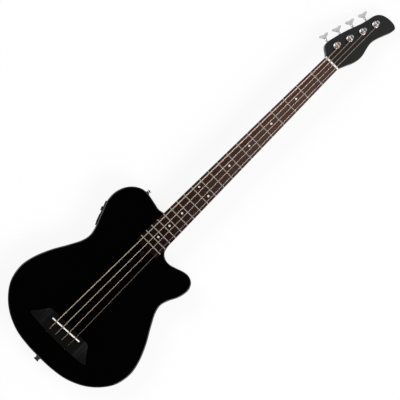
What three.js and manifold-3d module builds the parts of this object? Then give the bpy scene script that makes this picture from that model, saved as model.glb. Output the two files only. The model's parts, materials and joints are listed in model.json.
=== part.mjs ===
// Acoustic bass guitar with a single cutaway, lying on its back.
// Millimetres. +X runs along the neck to the head, +Y to the bass side and +Z out of the top.
// The origin is on the flat back, on the centre line, under the line where the scale starts.
import * as THREE from 'three';
import { mergeVertices } from 'three/addons/utils/BufferGeometryUtils.js';
import Module from 'manifold-3d';

const wasm = await Module();
wasm.setup();

// Clearances, and how far a cut runs past the face that it opens
const fit = 0.3;
const overrun = 20;

// Scale, strings and frets
const scaleLength = 863.6;
const mostFrets = 20;
const notesPerOctave = 12;
const stringNames = ['e', 'a', 'd', 'g'];
const stringDiameters = [2.6, 2.1, 1.65, 1.25];
const stringTurns = [1.75, 2, 2.25, 2.75];
const nutSpacing = 9.6;
const saddleSpacing = 19;
const stringHeightAtNut = 8.4;
const stringHeightAtSaddle = 12.8;

// Body
const bodyLength = 441;
const bodyWidth = 354;
const bodyDepth = 58;
const tailReach = 90;
const topThickness = 3.5;
const backThickness = 6;
const sideThickness = 12;
const edgeRound = 3;
const centreBlockWidth = 100;
const centreBlockSetback = 4;
const neckBlockSetback = 4;
const neckBlockWidth = 92;

// Braces under the top
const braceWidth = 8;
const braceHeight = 13;
const braceLength = 200;
const braceFromAxis = 88;
const braceCentre = 62;
const braceTurnDegrees = 8;

// Neck, heel and fingerboard
const nutWidth = 40;
const nutLength = 5;
const nutRise = 9.2;
const boardWidthAtEnd = 63;
const boardOverBody = 93;
const boardThickness = 7.2;
const boardRadius = 305;
const neckDepthAtNut = 21;
const neckDepthAtHeel = 23.5;
const heelDepth = 44;
const heelRun = 62;
const tongueSetback = 14;
const tongueWidth = 52;
const tongueDepth = 40;

// Fret wire
const crownWidth = 2.6;
const crownHeight = 1.1;
const tangWidth = 0.6;
const tangDepth = 1.8;

// Truss rod, and the slot in the top where its nut is turned
const rodWidth = 6;
const rodHeight = 9;
const rodHeadEnd = 850;
const rodEndRadius = 2;
const rodEndLength = 10;
const rodNutRadius = 4;
const rodNutLength = 14;
const rodNutShowing = 20;
const rodKeyRadius = 2.6;
const rodKeyDepth = 5;
const accessWidth = 10;
const accessRoom = 16;

// Bridge and saddle
const bridgeSpan = 174.6;
const bridgeFront = 10;
const bridgeBack = 36;
const bridgeHeight = 9;
const wingTipHeight = 3;
const wingCarveRadius = 120;
const saddleLength = 81.7;
const saddleWidth = 3.4;
const saddleCentre = -2.5;
const saddleTurnDegrees = 2.94;
const saddleSlotDepth = 6;
const saddleSink = 0.6;
const piezoHeight = 1.6;
const holeExit = -23;
const holeRise = 4.6;
const ballRadius = 3;
const ballLength = 5;

// Head
const headTiltDegrees = 10;
const headLength = 175.5;
const headWidth = 90.4;
const headThickness = 15;
const voluteRun = 30;
const neckTailRun = 42;

// Tuners
const firstPostShare = 0.2108;
const postSpacingShare = 0.1994;
const tunerTurnDegrees = -15.64;
const postWaistRadius = 3.7;
const postShaftRadius = 4.6;
const postFlangeRadius = 5.2;
const postHeight = 17;
const flangeThickness = 2;
const postSlotWidth = 3;
const postSlotDepth = 5;
const bushingFlangeRadius = 8;
const bushingBarrelRadius = 6.2;
const bushingFlangeHeight = 2;
const bushingBarrelLength = 9;
const plateThickness = 1.5;
const plateLength = 31;
const plateWidth = 27;
const plateTowardNut = 4;
const lugThickness = 1.6;
const lugWidth = 8;
const lugDrop = 6.4;
const lugSpan = 15;
const wheelRadius = 6.2;
const wheelTeeth = 20;
const toothDepth = 0.9;
const wheelThickness = 4.8;
const wormOffset = 9;
const wormRadius = 2.4;
const wormRootRadius = 1.6;
const wormLength = 10;
const wormThreads = 4;
const keyShaftRadius = 2;
const keyCollarRadius = 3.2;
const keyCollarLength = 5;
const keyReach = 28;
const paddleLength = 13;
const paddleWidth = 25.5;
const paddleThickness = 3.2;
const firstTurnHeight = 5;
const turnGap = 1.15;

// Strap button, and the end pin that holds the output jack
const buttonAcrossShare = 0.503;
const buttonBaseRadius = 6.75;
const buttonNeckRadius = 3.6;
const buttonFlangeRadius = 5.6;
const buttonLength = 10;
const buttonShankRadius = 2.5;
const buttonShankLength = 18;
const jackBarrelRadius = 5.4;
const jackBarrelLength = 38;
const jackBoreRadius = 3.3;
const jackBoreDepth = 34;
const jackFlangeRadius = 6.6;

// Side preamp with its battery drawer and three knobs
const panelLength = 60;
const panelHeight = 42;
const panelThickness = 2.6;
const panelCorner = 3;
const panelAlongShare = 0.757;
const panelProud = 2.8;
const batteryLength = 48.5;
const batteryWidth = 26.5;
const batteryThickness = 17.5;
const trayWall = 1.4;
const trayFront = 2.4;
const trayPull = 0.8;
const housingWall = 1.6;
const circuitDepth = 30;
const circuitLength = 26;
const knobRadius = 4.7;
const knobHeight = 3.2;
const knobSpacing = 12;
const knobShaftRadius = 2.5;
const knobShaftLength = 8;

// How fine the round forms are
const outlineSteps = 3;
const edgeSteps = 1;
const boardFacets = 4;
const neckFacets = 10;
const stringSides = 6;
const stepsPerTurn = 24;
const coarseSides = 8;
const plainSides = 12;
const fineSides = 16;

// Places along the axis: the neck joint goes with the body's shoulder
const bodyEnd = bodyLength - tailReach;
const boardEnd = bodyEnd - boardOverBody;
const tongueStart = boardEnd + tongueSetback;
const tongueEnd = bodyEnd;
const neckBlockStart = boardEnd + neckBlockSetback;
const rodNutStart = boardEnd - rodNutShowing;
const accessStart = rodNutStart - accessRoom;
const centreBlockEnd = accessStart - centreBlockSetback;

const topFace = bodyDepth;
const rimHeight = bodyDepth - topThickness;
const boardFace = topFace + boardThickness;
const nutHeadEdge = scaleLength + nutLength;
const headTilt = THREE.MathUtils.degToRad(headTiltDegrees);
const stringRadii = stringDiameters.map((diameter) => diameter / 2);

// A closed geometry as a solid that can be cut, and a cut solid as a geometry again
function solid(geometry) {
  const bare = geometry.clone();
  bare.deleteAttribute('normal');
  bare.deleteAttribute('uv');
  const merged = mergeVertices(bare);
  return new wasm.Manifold(new wasm.Mesh({
    numProp: 3,
    vertProperties: new Float32Array(merged.attributes.position.array),
    triVerts: new Uint32Array(merged.index.array),
  }));
}

function geometryOf(piece) {
  const mesh = piece.getMesh();
  const geometry = new THREE.BufferGeometry();
  geometry.setAttribute('position', new THREE.BufferAttribute(mesh.vertProperties, mesh.numProp));
  geometry.setIndex(new THREE.BufferAttribute(mesh.triVerts, 1));
  geometry.computeVertexNormals();
  return geometry;
}

// A box between two corners, and a round bar along Z from one height to another
function block(low, high) {
  const size = high.map((value, i) => value - low[i]);
  const middle = high.map((value, i) => (value + low[i]) / 2);
  return new THREE.BoxGeometry(...size).translate(...middle);
}

function bar(radius, low, high, sides) {
  const geometry = new THREE.CylinderGeometry(radius, radius, high - low, sides);
  return geometry.rotateX(Math.PI / 2).translate(0, 0, (low + high) / 2);
}

// A turned piece about Z from points of radius and height, listed upwards from the axis
function turned(profile, sides) {
  const points = profile.map(([radius, height]) => new THREE.Vector2(radius, height));
  return new THREE.LatheGeometry(points, sides).rotateX(Math.PI / 2);
}

function shapeOf(points) {
  return new THREE.Shape(points.map(([x, y]) => new THREE.Vector2(x, y)));
}

function slab(shape, low, high) {
  const settings = { depth: high - low, bevelEnabled: false };
  return new THREE.ExtrudeGeometry(shape, settings).translate(0, 0, low);
}

// A smooth line through points chosen by hand
function smooth(points, closed, stepsEach) {
  const knots = points.map(([x, y]) => new THREE.Vector3(x, y, 0));
  const curve = new THREE.CatmullRomCurve3(knots, closed, 'centripetal');
  const spans = closed ? points.length : points.length - 1;
  const line = curve.getPoints(spans * stepsEach).map((point) => [point.x, point.y]);
  return closed ? line.slice(0, -1) : line;
}

// Moves every vertex of a geometry to a new place
function moved(geometry, place) {
  const position = geometry.attributes.position;
  const point = new THREE.Vector3();
  for (let i = 0; i < position.count; i += 1) {
    point.fromBufferAttribute(position, i);
    const target = place(point);
    position.setXYZ(i, target.x, target.y, target.z);
  }
  geometry.computeVertexNormals();
  return geometry;
}

// A round tube that follows a chain of points, one ring at each point
class Chain extends THREE.Curve {
  constructor(points) {
    super();
    this.points = points;
  }

  getPoint(t) {
    const last = this.points.length - 1;
    const i = Math.min(Math.round(t * last), last);
    return this.points[i].clone();
  }

  getUtoTmapping(u) {
    return u;
  }

  getTangent(t) {
    const last = this.points.length - 1;
    const i = Math.min(Math.round(t * last), last);
    const before = this.points[Math.max(i - 1, 0)];
    const here = this.points[i];
    const after = this.points[Math.min(i + 1, last)];
    const arriving = here.clone().sub(before).normalize();
    const leaving = after.clone().sub(here).normalize();
    return arriving.add(leaving).normalize();
  }
}

function tube(points, radius) {
  const section = [];
  for (let i = 0; i < stringSides; i += 1) {
    const angle = (2 * Math.PI * i) / stringSides;
    section.push([radius * Math.cos(angle), radius * Math.sin(angle)]);
  }
  return new THREE.ExtrudeGeometry(shapeOf(section), {
    steps: points.length - 1,
    extrudePath: new Chain(points),
    bevelEnabled: false,
  });
}

// The least clear distance between two stretches of one tube that aren't next to each other
function leastGap(points, diameter, apart) {
  let least = Infinity;
  for (let i = 0; i < points.length; i += 1) {
    for (let j = i + apart; j < points.length; j += 1) {
      least = Math.min(least, points[i].distanceTo(points[j]) - diameter);
    }
  }
  return least;
}

const finishes = {
  blackGloss: { color: 0x060607, roughness: 0.12, metalness: 0 },
  blackSatin: { color: 0x0c0c0d, roughness: 0.4, metalness: 0 },
  spruce: { color: 0xc8a878, roughness: 0.7, metalness: 0 },
  ebony: { color: 0x151210, roughness: 0.5, metalness: 0 },
  rosewood: { color: 0x3e2a22, roughness: 0.55, metalness: 0 },
  bone: { color: 0xeae4d2, roughness: 0.35, metalness: 0 },
  nickel: { color: 0xc9c7c0, roughness: 0.22, metalness: 1 },
  chrome: { color: 0xd6d8da, roughness: 0.1, metalness: 1 },
  bronze: { color: 0xa9773f, roughness: 0.35, metalness: 1 },
  steel: { color: 0xa9abad, roughness: 0.3, metalness: 1 },
  plastic: { color: 0x111112, roughness: 0.5, metalness: 0 },
  foil: { color: 0x8c8f93, roughness: 0.4, metalness: 0.6 },
};

const materials = {};
for (const [name, look] of Object.entries(finishes)) {
  materials[name] = new THREE.MeshStandardMaterial(look);
}

const bass = new THREE.Group();

function add(name, geometry, finish, parent = bass) {
  const mesh = new THREE.Mesh(geometry, materials[finish]);
  mesh.name = name;
  parent.add(mesh);
  return mesh;
}

// Body outline: shares of the body's length from the tail, and of half its width from the axis.
// It runs from the neck round the bass side, the tail and the treble side to the cutaway.
const shoulderShares = [
  [0.988, 0.166], [0.982, 0.249], [0.989, 0.339], [1.0, 0.497], [0.997, 0.588],
  [0.971, 0.697], [0.93, 0.774], [0.88, 0.811], [0.821, 0.802], [0.771, 0.755],
  [0.726, 0.712], [0.68, 0.668],
];
const waistAndBoutShares = [
  [0.635, 0.647], [0.59, 0.669], [0.522, 0.754], [0.431, 0.881], [0.34, 0.971],
  [0.268, 1.0], [0.184, 0.96], [0.115, 0.847], [0.058, 0.678], [0.018, 0.452], [0.003, 0.226],
];
const cutawayShares = [
  [0.68, -0.68], [0.726, -0.737], [0.762, -0.762], [0.8, -0.763], [0.832, -0.715],
  [0.846, -0.633], [0.842, -0.546], [0.829, -0.452], [0.818, -0.35], [0.822, -0.271],
  [0.843, -0.203], [0.907, -0.164],
];
const trebleBoutShares = waistAndBoutShares.map(([along, across]) => [along, -across]).reverse();
const outlineShares = [
  ...shoulderShares, ...waistAndBoutShares, [0, 0], ...trebleBoutShares, ...cutawayShares,
];
const outline = smooth(
  outlineShares.map(([along, across]) => [along * bodyLength - tailReach, (across * bodyWidth) / 2]),
  false,
  outlineSteps,
);

function outlineMovedIn(distance) {
  const last = outline.length - 1;
  return outline.map(([x, y], i) => {
    const [fromX, fromY] = outline[Math.max(i - 1, 0)];
    const [toX, toY] = outline[Math.min(i + 1, last)];
    const length = Math.hypot(toX - fromX, toY - fromY);
    const inX = -(toY - fromY) / length;
    const inY = (toX - fromX) / length;
    return [x + inX * distance, y + inY * distance];
  });
}

function roundedBody() {
  const settings = {
    depth: bodyDepth - 2 * edgeRound,
    bevelThickness: edgeRound,
    bevelSize: edgeRound,
    bevelOffset: -edgeRound,
    bevelSegments: edgeSteps,
  };
  return solid(new THREE.ExtrudeGeometry(shapeOf(outline), settings).translate(0, 0, edgeRound));
}

// Everything that is cut out of the body for the pieces that it holds
const bodyReach = bodyLength + overrun;
const buttonHeight = bodyDepth / 2;
const buttonFromAxis = (buttonAcrossShare * bodyWidth) / 2;

function neckPocket() {
  const half = tongueWidth / 2 + fit;
  const low = [tongueStart - fit, -half, topFace - tongueDepth];
  return solid(block(low, [bodyReach, half, topFace + overrun]));
}

function accessSlot() {
  const half = accessWidth / 2;
  const low = [accessStart + half, -half, rimHeight - overrun];
  const straight = block(low, [tongueStart, half, topFace + overrun]);
  const end = bar(half, rimHeight - overrun, topFace + overrun, fineSides);
  return solid(straight).add(solid(end.translate(accessStart + half, 0, 0)));
}

function alongX(geometry, x, y, z) {
  return geometry.rotateY(Math.PI / 2).translate(x, y, z);
}

function preampCut() {
  const seat = block(
    [-panelLength / 2 - fit, -panelThickness - fit, -panelHeight / 2 - fit],
    [panelLength / 2 + fit, overrun, panelHeight / 2 + fit],
  );
  const mouth = block(
    [-panelMouthLength / 2, -2 * sideThickness, -panelMouthHeight / 2],
    [panelMouthLength / 2, overrun, panelMouthHeight / 2],
  );
  const cut = solid(seat).add(solid(mouth));
  return cut.transform(panelGroup.matrix.toArray());
}

// The panel of the preamp lies along the bass side, on the line between two points of the outline
function bassSideAt(x) {
  const i = outline.findIndex(([here], k) => k > 0 && here <= x && outline[k - 1][0] > x);
  const [fromX, fromY] = outline[i - 1];
  const [toX, toY] = outline[i];
  return fromY + ((toY - fromY) * (x - fromX)) / (toX - fromX);
}

const panelX = panelAlongShare * bodyLength - tailReach;
const panelLowY = bassSideAt(panelX - panelLength / 2);
const panelHighY = bassSideAt(panelX + panelLength / 2);
const panelTurn = Math.atan2(panelHighY - panelLowY, panelLength);
const panelY = (panelLowY + panelHighY) / 2 + panelProud / Math.cos(panelTurn);
const panelGroup = new THREE.Group();
panelGroup.position.set(panelX, panelY, bodyDepth / 2);
panelGroup.rotation.z = panelTurn;
panelGroup.updateMatrix();
bass.add(panelGroup);

const trayLength = batteryLength + 2 * fit + trayWall + trayFront;
const trayHeight = batteryWidth + 2 * fit + 2 * trayWall;
const trayDepth = batteryThickness + 2 * fit + trayWall;
const bayLength = trayDepth + 2 * fit;
const bayHeight = trayHeight + 2 * fit;
const housingHeight = bayHeight + 2 * housingWall;
const housingLength = bayLength + 2 * housingWall + circuitLength;
const panelMouthLength = housingLength + 2 * fit;
const panelMouthHeight = housingHeight + 2 * fit;
const bayStart = -housingLength / 2 + housingWall;

function bodyBack() {
  const chambers = solid(slab(shapeOf(outlineMovedIn(sideThickness)), backThickness, bodyDepth));
  const centreBlock = solid(block(
    [-bodyReach, -centreBlockWidth / 2, 0],
    [centreBlockEnd, centreBlockWidth / 2, bodyDepth],
  ));
  const neckBlock = solid(block(
    [neckBlockStart, -neckBlockWidth / 2, 0],
    [bodyReach, neckBlockWidth / 2, bodyDepth],
  ));
  const above = solid(block(
    [-bodyReach, -bodyReach, rimHeight],
    [bodyReach, bodyReach, bodyDepth + overrun],
  ));
  const buttonHole = bar(buttonShankRadius + fit, -buttonShankLength - fit, overrun, plainSides);
  const jackHole = bar(jackBarrelRadius + fit, -overrun, jackBarrelLength + fit, fineSides);
  const rodPassage = block(
    [neckBlockStart - overrun, -accessWidth / 2, rimHeight - accessWidth],
    [tongueStart, accessWidth / 2, bodyDepth],
  );
  return roundedBody()
    .subtract(chambers.subtract(centreBlock).subtract(neckBlock))
    .subtract(above)
    .subtract(neckPocket())
    .subtract(solid(rodPassage))
    .subtract(solid(alongX(buttonHole, bodyEnd, buttonFromAxis, buttonHeight)))
    .subtract(solid(alongX(jackHole, -tailReach, 0, buttonHeight)))
    .subtract(preampCut());
}

function soundboard() {
  const below = solid(block(
    [-bodyReach, -bodyReach, -overrun],
    [bodyReach, bodyReach, rimHeight],
  ));
  return roundedBody().subtract(below).subtract(neckPocket()).subtract(accessSlot());
}

add('body_back', geometryOf(bodyBack()), 'blackGloss');
add('soundboard', geometryOf(soundboard()), 'blackGloss');

// Two braces with feathered ends, glued under the top in the side chambers
const braceShares = [[-0.5, 1], [-0.5, 0.75], [-0.28, 0], [0.28, 0], [0.5, 0.75], [0.5, 1]];

function brace() {
  const side = shapeOf(braceShares.map(([along, up]) => [along * braceLength, up * braceHeight]));
  return slab(side, -braceWidth / 2, braceWidth / 2).rotateX(Math.PI / 2);
}

for (const [name, side] of [['brace_bass', 1], ['brace_treble', -1]]) {
  const mesh = add(name, brace(), 'spruce');
  mesh.rotation.z = THREE.MathUtils.degToRad(-side * braceTurnDegrees);
  mesh.position.set(braceCentre, side * braceFromAxis, rimHeight - braceHeight);
}

// Neck: a D-shaped shaft lofted over stations, with its heel, tongue and head
function boardHalfWidth(x) {
  const share = (scaleLength - x) / (scaleLength - boardEnd);
  return (nutWidth + (boardWidthAtEnd - nutWidth) * share) / 2;
}

function neckDepth(x) {
  const share = (scaleLength - x) / (scaleLength - tongueEnd);
  return neckDepthAtNut + (neckDepthAtHeel - neckDepthAtNut) * share;
}

const headMatrix = new THREE.Matrix4().makeRotationY(headTilt);
headMatrix.setPosition(nutHeadEdge, 0, topFace);

const heelShares = [[0, 1], [0.1, 0.86], [0.25, 0.6], [0.45, 0.32], [0.7, 0.1], [1, 0]];

const bodyCorner = cutawayShares[cutawayShares.length - 1][0] * bodyLength - tailReach;

function neckStations() {
  const loftStart = bodyCorner - overrun;
  const stations = [{ x: loftStart, half: boardHalfWidth(loftStart), depth: heelDepth }];
  for (const [along, extra] of heelShares) {
    const x = tongueEnd + along * heelRun;
    const depth = neckDepth(x);
    stations.push({ x, half: boardHalfWidth(x), depth: depth + (heelDepth - depth) * extra });
  }
  stations.push({ x: nutHeadEdge, half: nutWidth / 2, depth: neckDepthAtNut });
  stations.push({ run: voluteRun / 2, half: nutWidth / 2, depth: (neckDepthAtNut + headThickness) / 2 });
  stations.push({ run: voluteRun, half: nutWidth / 2, depth: headThickness });
  stations.push({ run: neckTailRun, half: nutWidth / 4, depth: headThickness / 2 });
  return stations;
}

function neckLoft() {
  const section = [[1, 0]];
  const fullnessShare = 0.72;
  for (let i = 1; i < neckFacets; i += 1) {
    const angle = (Math.PI * i) / neckFacets;
    section.push([Math.cos(angle), -(Math.sin(angle) ** fullnessShare)]);
  }
  section.push([-1, 0]);
  const stations = neckStations();
  const spans = stations.length - 1;
  const settings = { depth: spans, steps: spans, bevelEnabled: false };
  const loft = new THREE.ExtrudeGeometry(shapeOf(section), settings);
  return moved(loft, (point) => {
    const station = stations[Math.round(point.z)];
    const place = new THREE.Vector3(station.x, point.x * station.half, point.y * station.depth);
    if (station.run === undefined) {
      place.z += topFace;
      return place;
    }
    place.x = station.run;
    return place.applyMatrix4(headMatrix);
  });
}

// Head outline: shares of its length from the nut, and of half its width from the axis
const headShares = [
  [0, 0.447], [0.032, 0.582], [0.066, 0.77], [0.105, 0.895], [0.16, 0.92], [0.24, 0.862],
  [0.45, 0.65], [0.683, 0.336], [0.8, 0.228], [0.87, 0.17], [0.926, 0.066], [0.968, -0.113],
  [0.992, -0.36], [1, -0.65], [0.993, -0.9], [0.962, -1.085], [0.9, -1.075], [0.802, -0.94],
  [0.683, -0.775], [0.577, -0.708], [0.47, -0.77], [0.387, -0.848], [0.304, -0.865],
  [0.215, -0.79], [0.1, -0.6], [0, -0.447],
];
const headOutline = smooth(
  headShares.map(([along, across]) => [along * headLength, (across * headWidth) / 2]),
  false,
  2,
);

const windRadii = stringRadii.map((radius) => postWaistRadius + fit + radius);
const posts = stringNames.map((name, i) => {
  const x = (firstPostShare + i * postSpacingShare) * headLength;
  const y = nutSpacing * ((stringNames.length - 1) / 2 - i) + windRadii[i];
  return new THREE.Vector3(x, y, 0);
});

function neckPiece() {
  const plate = slab(shapeOf([...headOutline].reverse()), -headThickness, 0).applyMatrix4(headMatrix);
  let neck = solid(neckLoft()).add(solid(plate));
  const bodyPrism = solid(slab(shapeOf(outline), -overrun, topFace + overrun));
  neck = neck.subtract(bodyPrism.translate([2 * fit, 0, 0]));
  neck = neck.add(solid(block(
    [tongueStart, -tongueWidth / 2, topFace - tongueDepth],
    [tongueEnd, tongueWidth / 2, topFace],
  )));
  neck = neck.subtract(solid(block(
    [tongueStart - overrun, -rodWidth / 2 - fit, topFace - rodHeight - 2 * fit],
    [rodHeadEnd + fit, rodWidth / 2 + fit, topFace + overrun],
  )));
  for (const post of posts) {
    const hole = bar(bushingBarrelRadius + fit, -headThickness - overrun, overrun, fineSides);
    neck = neck.subtract(solid(hole.translate(post.x, post.y, 0).applyMatrix4(headMatrix)));
  }
  return neck;
}

add('neck', geometryOf(neckPiece()), 'blackSatin');

// Truss rod in its slot, and the nut that is turned through the slot in the top
const rodAxis = topFace - fit - rodHeight / 2;
const rodBarStart = rodNutStart + rodNutLength + fit;

function trussRod() {
  const rod = block(
    [rodBarStart, -rodWidth / 2, topFace - fit - rodHeight],
    [rodHeadEnd, rodWidth / 2, topFace - fit],
  );
  const end = alongX(bar(rodEndRadius, -rodEndLength, overrun, coarseSides), rodBarStart, 0, rodAxis);
  return solid(rod).add(solid(end));
}

function trussNut() {
  const nut = alongX(bar(rodNutRadius, 0, rodNutLength, fineSides), rodNutStart, 0, rodAxis);
  const key = alongX(bar(rodKeyRadius, -overrun, rodKeyDepth - fit, 6), rodNutStart, 0, rodAxis);
  const bore = bar(rodEndRadius + fit, rodNutLength - rodEndLength, overrun, coarseSides);
  return solid(nut).subtract(solid(key)).subtract(solid(alongX(bore, rodNutStart, 0, rodAxis)));
}

add('truss_rod', geometryOf(trussRod()), 'steel');
add('truss_nut', geometryOf(trussNut()), 'steel');

// Fingerboard with a cambered face, and the frets in its slots
function camber(y) {
  return Math.sqrt(boardRadius ** 2 - y ** 2) - boardRadius;
}

function acrossBoard(section, half) {
  const settings = { depth: 2 * half, steps: boardFacets, bevelEnabled: false };
  const geometry = new THREE.ExtrudeGeometry(shapeOf(section), settings);
  geometry.translate(0, 0, -half).rotateX(Math.PI / 2);
  return moved(geometry, (point) => point.setZ(point.z + camber(point.y)));
}

function fretPlace(number) {
  return scaleLength / 2 ** (number / notesPerOctave);
}

// The frets that the board has room for
const fretNumbers = [];
for (let number = 1; number <= mostFrets; number += 1) {
  if (fretPlace(number) > boardEnd + crownWidth) {
    fretNumbers.push(number);
  }
}

function fingerboard() {
  const section = [[-1, 0], [1, 0]];
  for (let i = 0; i <= boardFacets; i += 1) {
    section.push([1 - (2 * i) / boardFacets, 1]);
  }
  const blank = new THREE.ExtrudeGeometry(shapeOf(section), { depth: 1, steps: 1, bevelEnabled: false });
  let board = solid(moved(blank, (point) => {
    const x = point.z > 0.5 ? scaleLength : boardEnd;
    const y = point.x * boardHalfWidth(x);
    return new THREE.Vector3(x, y, point.y > 0 ? boardFace + camber(y) : topFace);
  }));
  const halfSlot = tangWidth / 2 + fit;
  const slot = [
    [-halfSlot, -tangDepth - fit], [halfSlot, -tangDepth - fit], [halfSlot, overrun], [-halfSlot, overrun],
  ];
  for (const number of fretNumbers) {
    const cutter = acrossBoard(slot, boardWidthAtEnd);
    board = board.subtract(solid(cutter.translate(fretPlace(number), 0, boardFace)));
  }
  return board;
}

add('fingerboard', geometryOf(fingerboard()), 'rosewood');

const crownShares = [[0.5, 0], [0.42, 0.5], [0.2, 0.92], [-0.2, 0.92], [-0.42, 0.5], [-0.5, 0]];

function fret(number) {
  const section = crownShares.map(([across, up]) => [across * crownWidth, fit + up * crownHeight]);
  section.push([-tangWidth / 2, fit], [-tangWidth / 2, -tangDepth]);
  section.push([tangWidth / 2, -tangDepth], [tangWidth / 2, fit]);
  return acrossBoard(section, boardHalfWidth(fretPlace(number)) - fit);
}

for (const number of fretNumbers) {
  const mesh = add(`fret_${String(number).padStart(2, '0')}`, fret(number), 'nickel');
  mesh.position.set(fretPlace(number), 0, boardFace);
}

// Where each string crosses the nut and the saddle: its place across, and the height of its axis
const strings = stringNames.map((name, i) => {
  const place = (stringNames.length - 1) / 2 - i;
  const nutY = place * nutSpacing;
  const saddleY = place * saddleSpacing;
  return {
    radius: stringRadii[i],
    nutY,
    saddleY,
    nutZ: topFace + stringHeightAtNut + camber(nutY) + fit + stringRadii[i],
    saddleZ: topFace + stringHeightAtSaddle + camber(saddleY) + fit + stringRadii[i],
  };
});

function nut() {
  let piece = solid(block(
    [scaleLength, -nutWidth / 2, topFace],
    [nutHeadEdge, nutWidth / 2, topFace + nutRise],
  ));
  for (const string of strings) {
    const half = string.radius + fit;
    piece = piece.subtract(solid(block(
      [scaleLength - overrun, string.nutY - half, string.nutZ - half],
      [nutHeadEdge + overrun, string.nutY + half, topFace + overrun],
    )));
  }
  return piece;
}

add('nut', geometryOf(nut()), 'bone');

// Bridge: shares of its depth behind its front edge, and of half its span from the axis
const bridgeHalfShares = [
  [0, 0], [0, 0.34], [0, 0.6], [0.04, 0.69], [0.21, 0.76], [0.44, 0.84], [0.65, 0.93], [0.8, 1],
  [0.87, 0.98], [0.93, 0.85], [0.96, 0.6], [0.99, 0.3], [1, 0],
];
const bridgeDepth = bridgeFront + bridgeBack;
const bridgeHalf = bridgeHalfShares.map(([back, across]) => [
  bridgeFront - back * bridgeDepth,
  (across * bridgeSpan) / 2,
]);
const bridgeMirrored = bridgeHalf.slice(1, -1).map(([x, y]) => [x, -y]).reverse();
const bridgeTop = topFace + bridgeHeight;
const saddleFloor = bridgeTop - saddleSlotDepth;

function holeDirection() {
  const run = holeExit + bridgeBack;
  return new THREE.Vector3(run, 0, bridgeHeight - holeRise).normalize();
}

function alongLine(geometry, from, direction) {
  const turn = new THREE.Quaternion().setFromUnitVectors(new THREE.Vector3(0, 0, 1), direction);
  return geometry.applyQuaternion(turn).translate(from.x, from.y, from.z);
}

function holeSeat(string) {
  return new THREE.Vector3(-bridgeBack, string.saddleY, topFace + holeRise);
}

function holeMouth(string) {
  return new THREE.Vector3(holeExit, string.saddleY, bridgeTop);
}

function overSaddle(string) {
  const slant = Math.tan(THREE.MathUtils.degToRad(saddleTurnDegrees));
  const x = saddleCentre - slant * string.saddleY;
  return new THREE.Vector3(x, string.saddleY, string.saddleZ);
}

function bridge() {
  let piece = solid(slab(shapeOf([...bridgeHalf, ...bridgeMirrored]), topFace, bridgeTop));
  const tipRun = bridgeSpan / 2 - saddleLength / 2;
  const fall = bridgeHeight - wingTipHeight;
  const lean = Math.atan(fall / tipRun);
  for (const side of [1, -1]) {
    const carve = bar(wingCarveRadius, -bodyLength, bodyLength, 72).rotateY(Math.PI / 2);
    const across = bridgeSpan / 2 - tipRun / 2 + Math.sin(lean) * wingCarveRadius;
    const up = bridgeTop - fall / 2 + Math.cos(lean) * wingCarveRadius - fit;
    const clear = block([-bodyLength, 0, 0], [bodyLength, bodyLength, bodyLength]);
    const wing = solid(carve.translate(0, across, up));
    const half = solid(clear.translate(0, saddleLength / 2 + saddleWidth, 0));
    const cut = wing.intersect(half);
    piece = piece.subtract(side > 0 ? cut : cut.mirror([0, 1, 0]));
  }
  const saddleSlot = block(
    [-saddleWidth / 2 - fit, -saddleLength / 2 - fit, saddleFloor],
    [saddleWidth / 2 + fit, saddleLength / 2 + fit, bridgeTop + overrun],
  );
  saddleSlot.rotateZ(THREE.MathUtils.degToRad(saddleTurnDegrees)).translate(saddleCentre, 0, 0);
  piece = piece.subtract(solid(saddleSlot));
  for (const string of strings) {
    const hole = bar(string.radius + fit, -overrun, 0, coarseSides);
    const seat = bar(ballRadius + fit, -overrun, ballLength + fit, plainSides);
    const ramp = bar(string.radius + fit, 0, overrun, coarseSides);
    const rise = overSaddle(string).sub(holeMouth(string)).normalize();
    piece = piece.subtract(solid(alongLine(hole, holeMouth(string), holeDirection())));
    piece = piece.subtract(solid(alongLine(seat, holeSeat(string), holeDirection())));
    piece = piece.subtract(solid(alongLine(ramp, holeMouth(string), rise)));
  }
  return piece;
}

add('bridge', geometryOf(bridge()), 'ebony');

// Saddle with a crowned top over the piezo strip, both in the slanted slot
const saddleGroup = new THREE.Group();
saddleGroup.position.set(saddleCentre, 0, saddleFloor);
saddleGroup.rotation.z = THREE.MathUtils.degToRad(saddleTurnDegrees);
bass.add(saddleGroup);

function saddle() {
  const rise = topFace + stringHeightAtSaddle - saddleFloor;
  const foot = piezoHeight + 2 * fit;
  const half = saddleWidth / 2;
  const section = [[-half, foot], [half, foot], [half, rise - saddleSink], [half / 3, rise],
    [-half / 3, rise], [-half, rise - saddleSink]];
  const settings = { depth: saddleLength, steps: boardFacets, bevelEnabled: false };
  const geometry = new THREE.ExtrudeGeometry(shapeOf(section), settings);
  geometry.translate(0, 0, -saddleLength / 2).rotateX(Math.PI / 2);
  return moved(geometry, (point) => {
    return point.z > foot + fit ? point.setZ(point.z + camber(point.y)) : point;
  });
}

add('saddle', saddle(), 'bone', saddleGroup);
add('piezo_strip', block(
  [-saddleWidth / 2, -saddleLength / 2, fit],
  [saddleWidth / 2, saddleLength / 2, fit + piezoHeight],
), 'foil', saddleGroup);

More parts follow.
